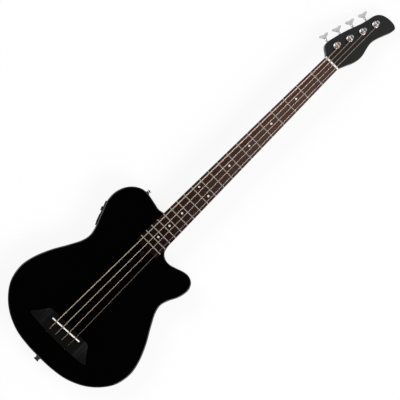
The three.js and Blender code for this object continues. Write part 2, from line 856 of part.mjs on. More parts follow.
// Strings: from the ball end in the bridge, over saddle and nut, to the turns round the post
function stringPoints(string, i) {
  const ball = holeSeat(string).addScaledVector(holeDirection(), ballLength / 2);
  const radius = windRadii[i];
  const turn = (point) => point.applyMatrix4(headMatrix);
  const points = [
    ball,
    holeMouth(string),
    overSaddle(string),
    new THREE.Vector3(scaleLength, string.nutY, string.nutZ),
    new THREE.Vector3(nutHeadEdge, string.nutY, string.nutZ),
  ];
  const steps = Math.round(stringTurns[i] * stepsPerTurn);
  const rise = stringDiameters[i] + turnGap;
  const winding = [];
  for (let k = 0; k <= steps; k += 1) {
    const angle = (2 * Math.PI * k) / stepsPerTurn - Math.PI / 2;
    const height = firstTurnHeight + (rise * k) / stepsPerTurn;
    const x = posts[i].x + radius * Math.cos(angle);
    const y = posts[i].y + radius * Math.sin(angle);
    winding.push(turn(new THREE.Vector3(x, y, height)));
  }
  const end = winding[steps].clone().sub(winding[steps - 1]).setLength(stringDiameters[i]);
  winding.push(winding[steps].clone().add(end));
  return { points: [...points, ...winding], winding };
}

function stringPiece(string, i) {
  const { points, winding } = stringPoints(string, i);
  const gap = leastGap(winding, stringDiameters[i], stepsPerTurn / 2);
  console.log(`string_${stringNames[i]}: least gap in its winding ${gap.toFixed(2)} mm`);
  const ball = alongLine(bar(ballRadius, fit, ballLength, coarseSides), holeSeat(string), holeDirection());
  return solid(tube(points, string.radius)).add(solid(ball));
}

strings.forEach((string, i) => {
  add(`string_${stringNames[i]}`, geometryOf(stringPiece(string, i)), 'bronze');
});

// Tuners: everything stands in the head's own plane, turned so that the keys point outwards
const headGroup = new THREE.Group();
headGroup.position.set(nutHeadEdge, 0, topFace);
headGroup.rotation.y = headTilt;
bass.add(headGroup);

const plateTop = -headThickness - fit;
const plateBottom = plateTop - plateThickness;
const wheelTop = plateBottom - fit;
const wheelBottom = wheelTop - wheelThickness;
const keyAxis = (wheelTop + wheelBottom) / 2;

function alongY(geometry, x, z) {
  return geometry.rotateX(-Math.PI / 2).translate(x, 0, z);
}

function bushing() {
  const bore = postShaftRadius + fit;
  return turned([
    [bore, -bushingBarrelLength], [bushingBarrelRadius, -bushingBarrelLength],
    [bushingBarrelRadius, fit], [bushingFlangeRadius, fit],
    [bushingFlangeRadius, bushingFlangeHeight / 2], [bushingBarrelRadius, bushingFlangeHeight],
    [bore, bushingFlangeHeight], [bore, -bushingBarrelLength],
  ], fineSides);
}

function tunerPlate() {
  const half = plateWidth / 2;
  let piece = solid(block(
    [-plateLength / 2 - plateTowardNut, -half, plateBottom],
    [plateLength / 2 - plateTowardNut, half, plateTop],
  ));
  piece = piece.subtract(solid(bar(postShaftRadius + fit, plateBottom - overrun, overrun, fineSides)));
  for (const side of [1, -1]) {
    const middle = (side * (lugSpan - lugThickness)) / 2;
    piece = piece.add(solid(block(
      [-wormOffset - lugWidth / 2, middle - lugThickness / 2, plateBottom - lugDrop],
      [-wormOffset + lugWidth / 2, middle + lugThickness / 2, plateTop - fit],
    )));
  }
  const shaftHole = bar(keyShaftRadius + fit, -overrun, overrun, plainSides);
  return piece.subtract(solid(alongY(shaftHole, -wormOffset, keyAxis)));
}

function post() {
  const waistLow = bushingFlangeHeight + 2 * fit;
  const waistHigh = postHeight - flangeThickness - fit;
  const stem = turned([
    [0, wheelBottom], [postShaftRadius, wheelBottom], [postShaftRadius, waistLow],
    [postWaistRadius, waistLow + fit], [postWaistRadius, waistHigh - fit],
    [postFlangeRadius, waistHigh + fit], [postFlangeRadius, postHeight - fit],
    [postFlangeRadius - 2 * fit, postHeight], [0, postHeight],
  ], plainSides);
  const rim = [];
  for (let i = 0; i < 2 * wheelTeeth; i += 1) {
    const angle = (Math.PI * i) / wheelTeeth;
    const radius = wheelRadius - (i % 2) * toothDepth;
    rim.push([radius * Math.cos(angle), radius * Math.sin(angle)]);
  }
  const wheel = slab(shapeOf(rim), wheelBottom, wheelTop);
  const slot = block(
    [-postSlotWidth / 2, -overrun, postHeight - postSlotDepth],
    [postSlotWidth / 2, overrun, postHeight + overrun],
  );
  return solid(stem).add(solid(wheel)).subtract(solid(slot));
}

// Paddle outline: shares of its length from the collar, and of half its width from the shaft
const paddleHalfShares = [
  [0, 0.2], [0.12, 0.42], [0.22, 0.8], [0.42, 1], [0.66, 0.96], [0.84, 0.72], [0.98, 0.5],
  [1, 0.3], [0.93, 0.12], [0.9, 0],
];

function key() {
  const lowEnd = -lugSpan / 2 - 2 * fit - lugThickness;
  const profile = [[0, lowEnd], [keyShaftRadius, lowEnd], [keyShaftRadius, -wormLength / 2]];
  const pitch = wormLength / wormThreads;
  for (let i = 0; i < wormThreads; i += 1) {
    const start = i * pitch - wormLength / 2;
    profile.push([wormRootRadius, start + pitch / 6], [wormRadius, start + pitch / 2]);
    profile.push([wormRootRadius, start + (5 * pitch) / 6]);
  }
  profile.push([keyShaftRadius, wormLength / 2], [keyShaftRadius, keyReach - keyCollarLength]);
  profile.push([keyCollarRadius, keyReach - keyCollarLength], [keyCollarRadius, keyReach]);
  profile.push([keyShaftRadius, keyReach + fit], [0, keyReach + fit]);
  const shaft = alongY(turned(profile, coarseSides), -wormOffset, keyAxis);
  const half = smooth(paddleHalfShares, false, 1).map(([along, across]) => [
    (across * paddleWidth) / 2 - wormOffset,
    keyReach + along * paddleLength,
  ]);
  const mirrored = half.slice(0, -1).map(([x, y]) => [-x - 2 * wormOffset, y]).reverse();
  const leaf = slab(
    shapeOf([...half, ...mirrored]),
    keyAxis - paddleThickness / 2,
    keyAxis + paddleThickness / 2,
  );
  return solid(shaft).add(solid(leaf));
}

const bushingGeometry = bushing();
const plateGeometry = geometryOf(tunerPlate());
const postGeometry = geometryOf(post());
const keyGeometry = geometryOf(key());

posts.forEach((place, i) => {
  const tuner = new THREE.Group();
  tuner.position.copy(place);
  tuner.rotation.z = THREE.MathUtils.degToRad(tunerTurnDegrees);
  headGroup.add(tuner);
  const name = stringNames[i];
  add(`tuner_bushing_${name}`, bushingGeometry, 'chrome', tuner);
  add(`tuner_plate_${name}`, plateGeometry, 'chrome', tuner);
  add(`tuner_post_${name}`, postGeometry, 'chrome', tuner);
  add(`tuner_key_${name}`, keyGeometry, 'chrome', tuner);
});

// Strap button on the shoulder, and the end pin at the tail with the output jack in it
function strapButton() {
  return turned([
    [0, -buttonShankLength], [buttonShankRadius, -buttonShankLength], [buttonShankRadius, fit],
    [buttonBaseRadius, fit], [buttonBaseRadius, buttonLength / 6],
    [buttonNeckRadius, buttonLength / 3], [buttonNeckRadius, (2 * buttonLength) / 3],
    [buttonFlangeRadius, (5 * buttonLength) / 6], [buttonFlangeRadius, buttonLength - fit],
    [buttonFlangeRadius - fit, buttonLength], [0, buttonLength],
  ], fineSides);
}

function endpinJack() {
  return turned([
    [0, -jackBarrelLength], [jackBarrelRadius, -jackBarrelLength], [jackBarrelRadius, fit],
    [buttonBaseRadius, fit], [buttonBaseRadius, buttonLength / 6],
    [jackBarrelRadius, buttonLength / 3], [jackBarrelRadius, (2 * buttonLength) / 3],
    [jackFlangeRadius, (5 * buttonLength) / 6], [jackFlangeRadius, buttonLength - fit],
    [jackFlangeRadius - fit, buttonLength], [jackBoreRadius, buttonLength],
    [jackBoreRadius, buttonLength - jackBoreDepth], [0, buttonLength - jackBoreDepth],
  ], fineSides);
}

const button = add('strap_button', strapButton(), 'chrome');
button.position.set(bodyEnd, buttonFromAxis, buttonHeight);
button.rotation.y = Math.PI / 2;

const endpin = add('endpin_jack', endpinJack(), 'chrome');
endpin.position.set(-tailReach, 0, buttonHeight);
endpin.rotation.y = -Math.PI / 2;

// Side preamp: X runs along the panel, Y points outwards and Z up
function roundedPlate(length, height, corner) {
  const shape = new THREE.Shape();
  const right = length / 2;
  const top = height / 2;
  shape.moveTo(-right + corner, -top);
  shape.lineTo(right - corner, -top);
  shape.absarc(right - corner, -top + corner, corner, -Math.PI / 2, 0);
  shape.absarc(right - corner, top - corner, corner, 0, Math.PI / 2);
  shape.absarc(-right + corner, top - corner, corner, Math.PI / 2, Math.PI);
  shape.absarc(-right + corner, -top + corner, corner, Math.PI, 1.5 * Math.PI);
  return shape;
}

const knobPlaces = [1, 0, -1].map((step) => step * knobSpacing);
const knobX = (bayStart + bayLength + housingLength / 2) / 2;
const bayDepth = trayLength + fit - trayPull;

function preampHousing() {
  const plate = new THREE.ExtrudeGeometry(roundedPlate(panelLength, panelHeight, panelCorner), {
    depth: panelThickness,
    bevelEnabled: false,
    curveSegments: 3,
  });
  plate.rotateX(Math.PI / 2);
  const bayBox = block(
    [-housingLength / 2, -bayDepth - housingWall, -housingHeight / 2],
    [bayStart + bayLength + housingWall, -panelThickness / 2, housingHeight / 2],
  );
  const circuit = block(
    [bayStart + bayLength, -circuitDepth, -housingHeight / 2],
    [housingLength / 2, -panelThickness / 2, housingHeight / 2],
  );
  const bay = block(
    [bayStart, -bayDepth, -bayHeight / 2],
    [bayStart + bayLength, overrun, bayHeight / 2],
  );
  let piece = solid(plate).add(solid(bayBox)).add(solid(circuit)).subtract(solid(bay));
  for (const z of knobPlaces) {
    const hole = bar(knobShaftRadius + fit, -knobShaftLength - fit, overrun, plainSides);
    piece = piece.subtract(solid(alongY(hole, knobX, z)));
  }
  return piece;
}

function batteryDrawer() {
  const low = [bayStart + fit, trayPull - trayLength, -trayHeight / 2];
  const high = [bayStart + fit + trayDepth, trayPull, trayHeight / 2];
  const hollow = block(
    [low[0] + trayWall, low[1] + trayWall, low[2] + trayWall],
    [high[0] + overrun, high[1] - trayFront, high[2] - trayWall],
  );
  return solid(block(low, high)).subtract(solid(hollow));
}

function battery() {
  const low = [
    bayStart + trayWall + 2 * fit,
    trayPull - trayFront - fit - batteryLength,
    -batteryWidth / 2,
  ];
  return block(low, [low[0] + batteryThickness, low[1] + batteryLength, low[2] + batteryWidth]);
}

function knob() {
  return alongY(turned([
    [0, -knobShaftLength], [knobShaftRadius, -knobShaftLength], [knobShaftRadius, fit],
    [knobRadius, fit], [knobRadius, knobHeight - fit], [knobRadius - 2 * fit, knobHeight],
    [0, knobHeight],
  ], fineSides), 0, 0);
}

add('preamp_housing', geometryOf(preampHousing()), 'plastic', panelGroup);
add('battery_drawer', geometryOf(batteryDrawer()), 'plastic', panelGroup);
add('battery', battery(), 'foil', panelGroup);
['knob_volume', 'knob_bass', 'knob_treble'].forEach((name, i) => {
  const mesh = add(name, knob(), 'plastic', panelGroup);
  mesh.position.set(knobX, 0, knobPlaces[i]);
});

export default bass;
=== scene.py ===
# An acoustic bass guitar with a single cutaway, lying on its flat back.
# Metres. +X runs along the neck to the head, +Y to the bass side and +Z out of the top.
import json
import math

import bpy
from mathutils import Matrix, Vector

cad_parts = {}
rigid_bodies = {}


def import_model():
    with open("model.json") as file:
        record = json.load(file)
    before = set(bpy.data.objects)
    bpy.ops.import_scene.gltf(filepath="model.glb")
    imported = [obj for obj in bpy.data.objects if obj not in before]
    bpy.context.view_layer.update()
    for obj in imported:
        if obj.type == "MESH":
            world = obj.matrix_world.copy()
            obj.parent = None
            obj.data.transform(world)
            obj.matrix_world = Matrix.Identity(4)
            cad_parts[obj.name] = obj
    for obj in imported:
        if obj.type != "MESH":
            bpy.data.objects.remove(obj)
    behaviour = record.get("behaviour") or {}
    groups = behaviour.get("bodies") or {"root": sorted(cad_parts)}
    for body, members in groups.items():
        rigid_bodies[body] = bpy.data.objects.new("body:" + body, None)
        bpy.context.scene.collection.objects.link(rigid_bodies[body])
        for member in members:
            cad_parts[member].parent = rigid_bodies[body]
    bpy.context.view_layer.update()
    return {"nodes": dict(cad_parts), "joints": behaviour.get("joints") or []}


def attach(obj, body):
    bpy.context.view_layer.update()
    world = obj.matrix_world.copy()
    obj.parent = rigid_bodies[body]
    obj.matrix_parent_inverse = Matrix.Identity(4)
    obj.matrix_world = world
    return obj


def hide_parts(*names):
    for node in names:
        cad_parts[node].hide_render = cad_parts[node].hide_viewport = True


for leftover in list(bpy.data.objects):
    bpy.data.objects.remove(leftover)

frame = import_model()

# Camera: it hangs five metres over the bridge and looks down a little towards the head, turned so
# that the neck runs to the upper right corner of a square picture. Nothing is out of focus.
bpy.ops.object.camera_add(location=(0.0328, 0.0892, 5.0))
camera = bpy.context.object
camera.rotation_euler = [math.radians(turn) for turn in (2.425, -4.0, -45.142)]
camera.data.lens = 193.99
camera.data.sensor_width = 36
bpy.context.scene.camera = camera
bpy.context.scene.view_settings.view_transform = "Standard"


# Studio: a white floor that keeps a soft shadow, and two broad soft lamps on the sides. Gloss sees
# a surround that is grey low down, white halfway up and dark overhead, so that the top stays black.
class Value:
    """An output of a shader node, which can stand in sums and products."""

    def __init__(self, finish, socket):
        self.finish = finish
        self.socket = socket

    def maths(self, operation, first, second=0.0):
        return self.finish.node("ShaderNodeMath", {"operation": operation}, {0: first, 1: second})

    def __add__(self, other):
        return self.maths("ADD", self, other)

    def __sub__(self, other):
        return self.maths("SUBTRACT", self, other)

    def __rsub__(self, other):
        return self.maths("SUBTRACT", other, self)

    def __mul__(self, other):
        return self.maths("MULTIPLY", self, other)

    __radd__ = __add__
    __rmul__ = __mul__

    def also(self, output):
        """Another output of the same node."""
        return Value(self.finish, self.socket.node.outputs[output])


class Finish:
    """A finish made of shader nodes, for a surface or for the world around it."""

    def __init__(self, name, holder=None, **constants):
        self.holder = holder or bpy.data.materials.new(name)
        self.holder.use_nodes = True
        self.tree = self.holder.node_tree
        self.shader = self.tree.nodes.get("Principled BSDF") or self.tree.nodes["Background"]
        self.feed(**constants)

    def feed(self, **sockets):
        for name, value in sockets.items():
            self.join(value, self.shader.inputs[name.replace("_", " ")])

    def join(self, value, socket):
        if isinstance(value, Value):
            self.tree.links.new(value.socket, socket)
        else:
            socket.default_value = value

    def node(self, kind, settings=None, sockets=None, output=0):
        made = self.tree.nodes.new(kind)
        for name, value in (settings or {}).items():
            if name == "stops":
                for place, _ in value[2:]:
                    made.color_ramp.elements.new(place)
                for stop, (place, level) in zip(made.color_ramp.elements, sorted(value)):
                    stop.position = place
                    stop.color = (level, level, level, 1)
            else:
                setattr(made, name, value)
        for name, value in (sockets or {}).items():
            self.join(value, made.inputs[name])
        return Value(self, made.outputs[output])

    def ramp(self, value, stops):
        return self.node("ShaderNodeValToRGB", {"stops": stops}, {0: value})

    def mix(self, share, first, second):
        return self.node("ShaderNodeMix", {"data_type": "RGBA"}, {0: share, 6: first, 7: second}, 2)

    def noise(self, stretch, detail=3.0, roughness=0.5):
        """Noise with so many cells to the metre along X, Y and Z."""
        place = self.node("ShaderNodeTexCoord", output=3)
        placed = self.node("ShaderNodeMapping", {}, {"Vector": place, "Scale": stretch})
        sockets = {"Vector": placed, "Scale": 1.0, "Detail": detail, "Roughness": roughness}
        return self.node("ShaderNodeTexNoise", {}, sockets)

    def along(self):
        """How far each point lies along X, in metres."""
        return self.node("ShaderNodeSeparateXYZ", {}, {0: self.node("ShaderNodeTexCoord", output=3)})

    def bump(self, height, distance, strength=1.0):
        """Relief in metres, fed to the surface."""
        sockets = {"Height": height, "Distance": distance, "Strength": strength}
        self.feed(Normal=self.node("ShaderNodeBump", {}, sockets))


def rgb(red, green, blue):
    """A colour from 0 to 255 as it looks on a screen, in linear light."""
    shares = [level / 255 for level in (red, green, blue)]
    return (*((s / 12.92 if s < 0.04045 else ((s + 0.055) / 1.055) ** 2.4) for s in shares), 1)


def mirror_rays(rays):
    """1 for rays from a mirror or a glass, and 0 for the rest."""
    return rays.maths("MAXIMUM", rays.also("Is Glossy Ray"), rays.also("Is Transmission Ray"))


bpy.ops.object.select_all(action="DESELECT")
bpy.ops.mesh.primitive_plane_add(size=24, location=(0.45, 0, 0))
floor = bpy.context.object
floor.name = "floor"
floor_paint = Finish("floor_paint", Base_Color=rgb(250, 250, 250), Roughness=0.95, Specular_IOR_Level=0)
glow = floor_paint.node("ShaderNodeEmission", {}, {"Color": (1, 1, 1, 1), "Strength": 1.0})
glow_share = 0.87
plain = Value(floor_paint, floor_paint.shader.outputs[0])
rays = floor_paint.node("ShaderNodeLightPath")
seen = rays.maths("MAXIMUM", rays.also("Is Camera Ray"), mirror_rays(rays))
lit = floor_paint.node("ShaderNodeMixShader", {}, {0: seen * glow_share, 1: plain, 2: glow})
floor_paint.join(lit, floor_paint.tree.nodes["Material Output"].inputs["Surface"])
floor.data.materials.append(floor_paint.holder)

bpy.context.scene.world = bpy.data.worlds.new("surround")
surround = Finish("surround", bpy.context.scene.world)
upward = surround.node("ShaderNodeSeparateXYZ", {}, {0: surround.node("ShaderNodeTexCoord")}).also("Z")
shades = [(0.0, 0.3), (0.52, 0.3), (0.7, 1.0), (0.83, 0.62), (0.965, 0.012), (1.0, 0.004)]
rays = surround.node("ShaderNodeLightPath")
ambient = surround.mix(rays.also("Is Camera Ray"), (0.34, 0.34, 0.34, 1), (1, 1, 1, 1))
surround.feed(Color=surround.mix(mirror_rays(rays), ambient, surround.ramp(upward, shades)), Strength=1.0)

for side, power in ((1, 50), (-1, 77)):
    bpy.ops.object.light_add(type="AREA", location=(0.4, side * 2.4, 2.3))
    lamp = bpy.context.object
    lamp.data.shape = "RECTANGLE"
    lamp.data.size = 2.4
    lamp.data.size_y = 1.6
    lamp.data.energy = power
    lamp.rotation_euler = (-side * math.radians(46), 0, 0)


# Body: mahogany, routed hollow on both sides of a solid centre and sprayed with black gloss all
# over. The neck's pocket, the preamp's mouth and the holes are cut into it.
body_length = 0.441
body_width = 0.354
body_depth = 0.058
tail_reach = 0.09
top_thickness = 0.0035
edge_round = 0.003
rim = body_depth - top_thickness
body_end = body_length - tail_reach
board_end = body_end - 0.093
fit = 0.0003
overrun = 0.02


def smooth(points, steps):
    """A smooth line through given points, with so many steps from each to the next."""
    knots = [Vector(point) for point in points]
    knots = [2 * knots[0] - knots[1], *knots, 2 * knots[-1] - knots[-2]]
    line = []
    for before, start, end, after in zip(knots, knots[1:], knots[2:], knots[3:]):
        pairs = ((before, start), (start, end), (end, after))
        near, here, far = [math.sqrt((b - a).length) for a, b in pairs]
        leaving = (start - before) / near - (end - before) / (near + here) + (end - start) / here
        coming = (end - start) / here - (after - start) / (here + far) + (after - end) / far
        leaving, coming = leaving * here, coming * here
        for step in range(steps):
            t = step / steps
            bend = 2 * (start - end) + leaving + coming
            swing = 3 * (end - start) - 2 * leaving - coming
            line.append(start + leaving * t + swing * t ** 2 + bend * t ** 3)
    return line + [knots[-2]]


def edit(piece, test=None, kind="FACE"):
    """Opens a piece with the faces or edges selected that pass a test, or with all of it selected."""
    bpy.ops.object.select_all(action="DESELECT")
    piece.select_set(True)
    bpy.context.view_layer.objects.active = piece
    bpy.ops.object.mode_set(mode="EDIT")
    bpy.ops.mesh.select_mode(type=kind)
    bpy.ops.mesh.select_all(action="DESELECT" if test else "SELECT")
    if test:
        bpy.ops.object.mode_set(mode="OBJECT")
        mesh = piece.data
        if kind == "FACE":
            for face in mesh.polygons:
                face.select = test(face.center, face.normal)
        else:
            for edge in mesh.edges:
                edge.select = test(*(mesh.vertices[i].co for i in edge.vertices))
        bpy.ops.object.mode_set(mode="EDIT")


def close():
    bpy.ops.object.mode_set(mode="OBJECT")


def plate(name, points, low, high):
    """A board or sheet sawn to an outline, from one height to another."""
    bpy.ops.object.select_all(action="DESELECT")
    bpy.ops.mesh.primitive_circle_add(vertices=len(points), radius=1, fill_type="NGON")
    piece = bpy.context.object
    piece.name = name
    for corner, point in zip(piece.data.vertices, points):
        corner.co = (point[0], point[1], low)
    edit(piece)
    bpy.ops.mesh.extrude_region_move(TRANSFORM_OT_translate={"value": (0, 0, high - low)})
    bpy.ops.mesh.select_all(action="SELECT")
    bpy.ops.mesh.normals_make_consistent(inside=False)
    close()
    return piece


def at(x, y, z):
    return Matrix.Translation((x, y, z))


def turned(degrees, axis):
    return Matrix.Rotation(math.radians(degrees), 4, axis)


def block(name, low, high, place=Matrix()):
    """A block, as a cutter or as a start."""
    piece = plate(name, [low[:2], (high[0], low[1]), high[:2], (low[0], high[1])], low[2], high[2])
    piece.data.transform(place)
    return piece


def swung(radius, angle, height=0.0):
    """A point at a distance from Z, turned about it."""
    return Vector((radius * math.cos(angle), radius * math.sin(angle), height))


def bore(name, radius, low, high, place=Matrix(), sides=32):
    """A round bar along Z, then set in place, to drill with or as a start."""
    piece = plate(name, [swung(radius, 2 * math.pi * i / sides) for i in range(sides)], low, high)
    piece.data.transform(place)
    return piece


def cut(piece, finish, *cutters, operation="DIFFERENCE"):
    """Cuts or joins a piece with others, which are used up. Their faces take the finish."""
    for cutter in cutters:
        paint(cutter, finish)
        trim = piece.modifiers.new("trim", "BOOLEAN")
        trim.object = cutter
        trim.operation = operation
        trim.solver = "EXACT"
        trim.material_mode = "TRANSFER"
        bpy.ops.object.select_all(action="DESELECT")
        bpy.context.view_layer.objects.active = piece
        bpy.ops.object.modifier_apply(modifier="trim")
        bpy.data.meshes.remove(cutter.data)


def level(a, b):
    """True for an edge that lies level."""
    return abs(a.z - b.z) < fit / 2


def rounded(piece, width, test=level, steps=3):
    """Rounds the edges that pass a test."""
    edit(piece, test, "EDGE")
    bpy.ops.mesh.bevel(offset=width, segments=steps, affect="EDGES", clamp_overlap=False)
    close()


def bordered(piece, width, *heights):
    """Insets the flat faces at some heights, so that the rounding next to them shades smoothly."""
    for height in heights:
        edit(piece, lambda centre, normal: abs(centre.z - height) < fit and abs(normal.z) > 0.9999)
        bpy.ops.mesh.inset(thickness=width)
        close()


def sawn(piece, place, normal, **parts):
    """Saws a piece along a plane. Parts say which side falls away, and if the cut is closed."""
    edit(piece)
    bpy.ops.mesh.bisect(plane_co=place, plane_no=normal, **parts)
    close()


def paint(piece, finish, test=None):
    """Puts a finish on a piece, or on the faces of it that pass a test."""
    if finish.holder.name not in piece.data.materials:
        piece.data.materials.append(finish.holder)
    number = piece.data.materials.find(finish.holder.name)
    for face in piece.data.polygons:
        if test is None or test(face.center, face.normal):
            face.material_index = number


def fitted(piece, slot, *nodes, body="root", angle=32):
    """Shades a finished piece, and fixes it to its body in place of the nodes that it stands for."""
    bpy.ops.object.select_all(action="DESELECT")
    piece.select_set(True)
    bpy.context.view_layer.objects.active = piece
    bpy.ops.object.shade_smooth_by_angle(angle=math.radians(angle))
    piece.data.name = piece.name
    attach(piece, body)
    if nodes:
        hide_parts(*nodes)
    return piece


lacquer = Finish("black_gloss_lacquer", Base_Color=rgb(2, 2, 2), IOR=1.5)
haze = lacquer.noise((5, 5, 5), 4)
swirl = lacquer.noise((60, 240, 120), 5, 0.7)
lacquer.feed(Roughness=0.045 + 0.05 * haze + 0.03 * swirl, Coat_Weight=0.1 + 0.15 * haze)
lacquer.feed(Coat_Roughness=0.04, Specular_IOR_Level=0.3)
lacquer.bump(lacquer.noise((260, 260, 260), 2), 0.000012)

mahogany = Finish("bare_mahogany", Roughness=0.7)
fibre = mahogany.noise((9, 320, 320), 5, 0.65)
mahogany.feed(Base_Color=mahogany.mix(fibre, rgb(96, 55, 36), rgb(158, 102, 68)))
mahogany.bump(fibre, 0.0002)

spruce = Finish("bare_spruce", Roughness=0.65)
rings = spruce.noise((2, 420, 30), 2)
summer_wood = spruce.ramp(rings, [(0.42, 0), (0.5, 1)])
spruce.feed(Base_Color=spruce.mix(summer_wood, rgb(186, 142, 92), rgb(222, 190, 142)))
spruce.bump(rings, 0.00015)

shoulder_shares = [
    (0.988, 0.166), (0.982, 0.249), (0.989, 0.339), (1.0, 0.497), (0.997, 0.588),
    (0.971, 0.697), (0.93, 0.774), (0.88, 0.811), (0.821, 0.802), (0.771, 0.755),
    (0.726, 0.712), (0.68, 0.668),
]
bout_shares = [
    (0.635, 0.647), (0.59, 0.669), (0.522, 0.754), (0.431, 0.881), (0.34, 0.971),
    (0.268, 1.0), (0.184, 0.96), (0.115, 0.847), (0.058, 0.678), (0.018, 0.452), (0.003, 0.226),
]
cutaway_shares = [
    (0.68, -0.68), (0.726, -0.737), (0.762, -0.762), (0.8, -0.763), (0.832, -0.715),
    (0.846, -0.633), (0.842, -0.546), (0.829, -0.452), (0.818, -0.35), (0.822, -0.271),
    (0.843, -0.203), (0.907, -0.164),
]
treble_shares = [(along, -across) for along, across in reversed(bout_shares)]
outline_shares = [*shoulder_shares, *bout_shares, (0, 0), *treble_shares, *cutaway_shares]
outline = smooth(
    [(along * body_length - tail_reach, across * body_width / 2) for along, across in outline_shares], 8)


def moved_in(points, distance):
    """An outline drawn in by a wall."""
    inner = []
    for before, here, after in zip(points[:1] + points, points, points[1:] + points[-1:]):
        along = (after - before).normalized()
        inner.append(here + Vector((-along.y, along.x)) * distance)
    return inner


blank = plate("blank", outline, 0, body_depth)
rounded(blank, edge_round, steps=6)
for corner in blank.data.vertices:
    corner.co.z = min(max(corner.co.z, 0), body_depth)
bordered(blank, 0.0012, 0, body_depth)
paint(blank, lacquer)


def half(name, above):
    """The top or the back of the blank, sawn off at the rim."""
    piece = blank.copy()
    piece.data = blank.data.copy()
    piece.name = name
    bpy.context.collection.objects.link(piece)
    sawn(piece, (0, 0, rim), (0, 0, 1), use_fill=True, clear_outer=not above, clear_inner=above)
    return piece


body_back = half("body_back_gloss", False)
soundboard = half("soundboard_gloss", True)
bpy.data.meshes.remove(blank.data)

bass_turn = next(joint for joint in frame["joints"] if joint["name"] == "bass_turn")
panel_out = Vector(bass_turn["axis"])
panel_along = Vector((panel_out.y, -panel_out.x, 0))
knob_x = 0.01085
panel_origin = Vector(bass_turn["pos_m"]) - panel_along * knob_x
panel_axes = Matrix((panel_along, panel_out, (0, 0, 1))).transposed().to_4x4()
panel_place = at(*panel_origin) @ panel_axes
panel_length, panel_height, panel_thickness = 0.06, 0.042, 0.0026
mouth_length, mouth_height, mouth_depth = 0.0522, 0.0337, 0.024
wall_thickness, back_thickness, beyond = 0.012, 0.006, 0.5
centre_end, centre_half = board_end - 0.04, 0.05
tongue_start, tongue_half, tongue_depth = board_end + 0.014, 0.026, 0.04
neck_block_start, neck_block_half = board_end + 0.004, 0.046
passage_start, passage_depth, access_radius = board_end - 0.016, 0.01, 0.005
button_shank, button_depth, jack_radius, jack_depth = 0.0025, 0.018, 0.0054, 0.038

chambers = plate("chambers", moved_in(outline, wall_thickness), back_thickness, body_depth)
above = body_depth + overrun
centre = block("centre", (-beyond, -centre_half, -overrun), (centre_end, centre_half, above))
neck_block = block(
    "neck_block", (neck_block_start, -neck_block_half, -overrun), (beyond, neck_block_half, above))
cut(chambers, mahogany, centre, neck_block)
pocket_low = (tongue_start - fit, -tongue_half - fit, body_depth - tongue_depth)
pocket_high = (beyond, tongue_half + fit, above)
passage = block(
    "passage", (passage_start, -access_radius, rim - passage_depth),
    (tongue_start, access_radius, body_depth))
seat = block(
    "seat", (-panel_length / 2 - fit, -panel_thickness - fit, -panel_height / 2 - fit),
    (panel_length / 2 + fit, overrun, panel_height / 2 + fit), panel_place)
mouth = block(
    "mouth", (-mouth_length / 2, -mouth_depth, -mouth_height / 2),
    (mouth_length / 2, overrun, mouth_height / 2), panel_place)
button_y = 0.503 * body_width / 2
middle = body_depth / 2
button_place = at(body_end, button_y, middle) @ turned(90, "Y")
button_hole = bore("button_hole", button_shank + fit, -button_depth - fit, overrun, button_place)
jack_place = at(-tail_reach, 0, middle) @ turned(90, "Y")
jack_hole = bore("jack_hole", jack_radius + fit, -overrun, jack_depth + fit, jack_place)
cut(body_back, mahogany, chambers, block("pocket", pocket_low, pocket_high))
cut(body_back, lacquer, passage, seat)
cut(body_back, mahogany, mouth, button_hole, jack_hole)
fitted(body_back, "body_lacquer", "body_back")

# Soundboard: a flat spruce plate glued onto the rim and sprayed together with it. It has no sound
# hole, only the slot at the end of the fingerboard where the key of the truss rod goes in.
access_start = board_end - 0.036 + access_radius
access_end = bore("access_end", access_radius, rim - overrun, above, at(access_start, 0, 0))
access = block(
    "access", (access_start, -access_radius, rim - overrun), (tongue_start, access_radius, above))
cut(soundboard, lacquer, access, access_end)
cut(soundboard, spruce, block("pocket", pocket_low, pocket_high))
paint(soundboard, spruce, lambda centre, normal: centre.z < rim + fit and normal.z < -0.9)
fitted(soundboard, "body_lacquer", "soundboard")

# Braces, piezo strip and truss rod: the pieces inside keep their sawn or pressed shapes. The braces
# are raw spruce, the strip is foil round a film, and the rod is blued steel in a slot in the neck;
# the steel's near-black colour is partly painted shade, made for the truss nut in its slot.
# Blued steel, near black: the darkness is partly painted shade for the truss nut down in its slot.
steel = Finish("blued_steel_and_painted_shade", Base_Color=rgb(17, 17, 19), Metallic=1.0)
steel.feed(Roughness=0.25 + 0.25 * steel.noise((300, 300, 300), 4))
steel.bump(steel.noise((40, 900, 900), 3), 0.00002)
foil = Finish("pressed_foil", Base_Color=rgb(170, 172, 176), Metallic=0.8)
foil.feed(Roughness=0.35 + 0.2 * foil.noise((90, 260, 260), 3))
foil.bump(foil.noise((200, 90, 200), 3), 0.0001)
inner_finishes = {"brace_bass": spruce, "brace_treble": spruce, "piezo_strip": foil, "truss_rod": steel}
for node, finish in inner_finishes.items():
    frame["nodes"][node].data.materials.clear()
    frame["nodes"][node].data.materials.append(finish.holder)

# Neck: one mahogany shaft from the heel to the head, carved to a D under the fingerboard, with a
# tongue glued into the body's pocket and the head tilted back ten degrees. It is lacquered satin.
scale_length = 0.8636
nut_length = 0.005
nut_width = 0.04
board_width = 0.063
neck_depth_at_nut = 0.021
neck_depth_at_heel = 0.0235
heel_depth = 0.044
heel_run = 0.062
head_length = 0.1755
head_width = 0.0904
head_thickness = 0.015
nut_edge = scale_length + nut_length
head_place = at(nut_edge, 0, body_depth) @ turned(10, "Y")


def board_half(x):
    share = (scale_length - x) / (scale_length - board_end)
    return (nut_width + (board_width - nut_width) * share) / 2


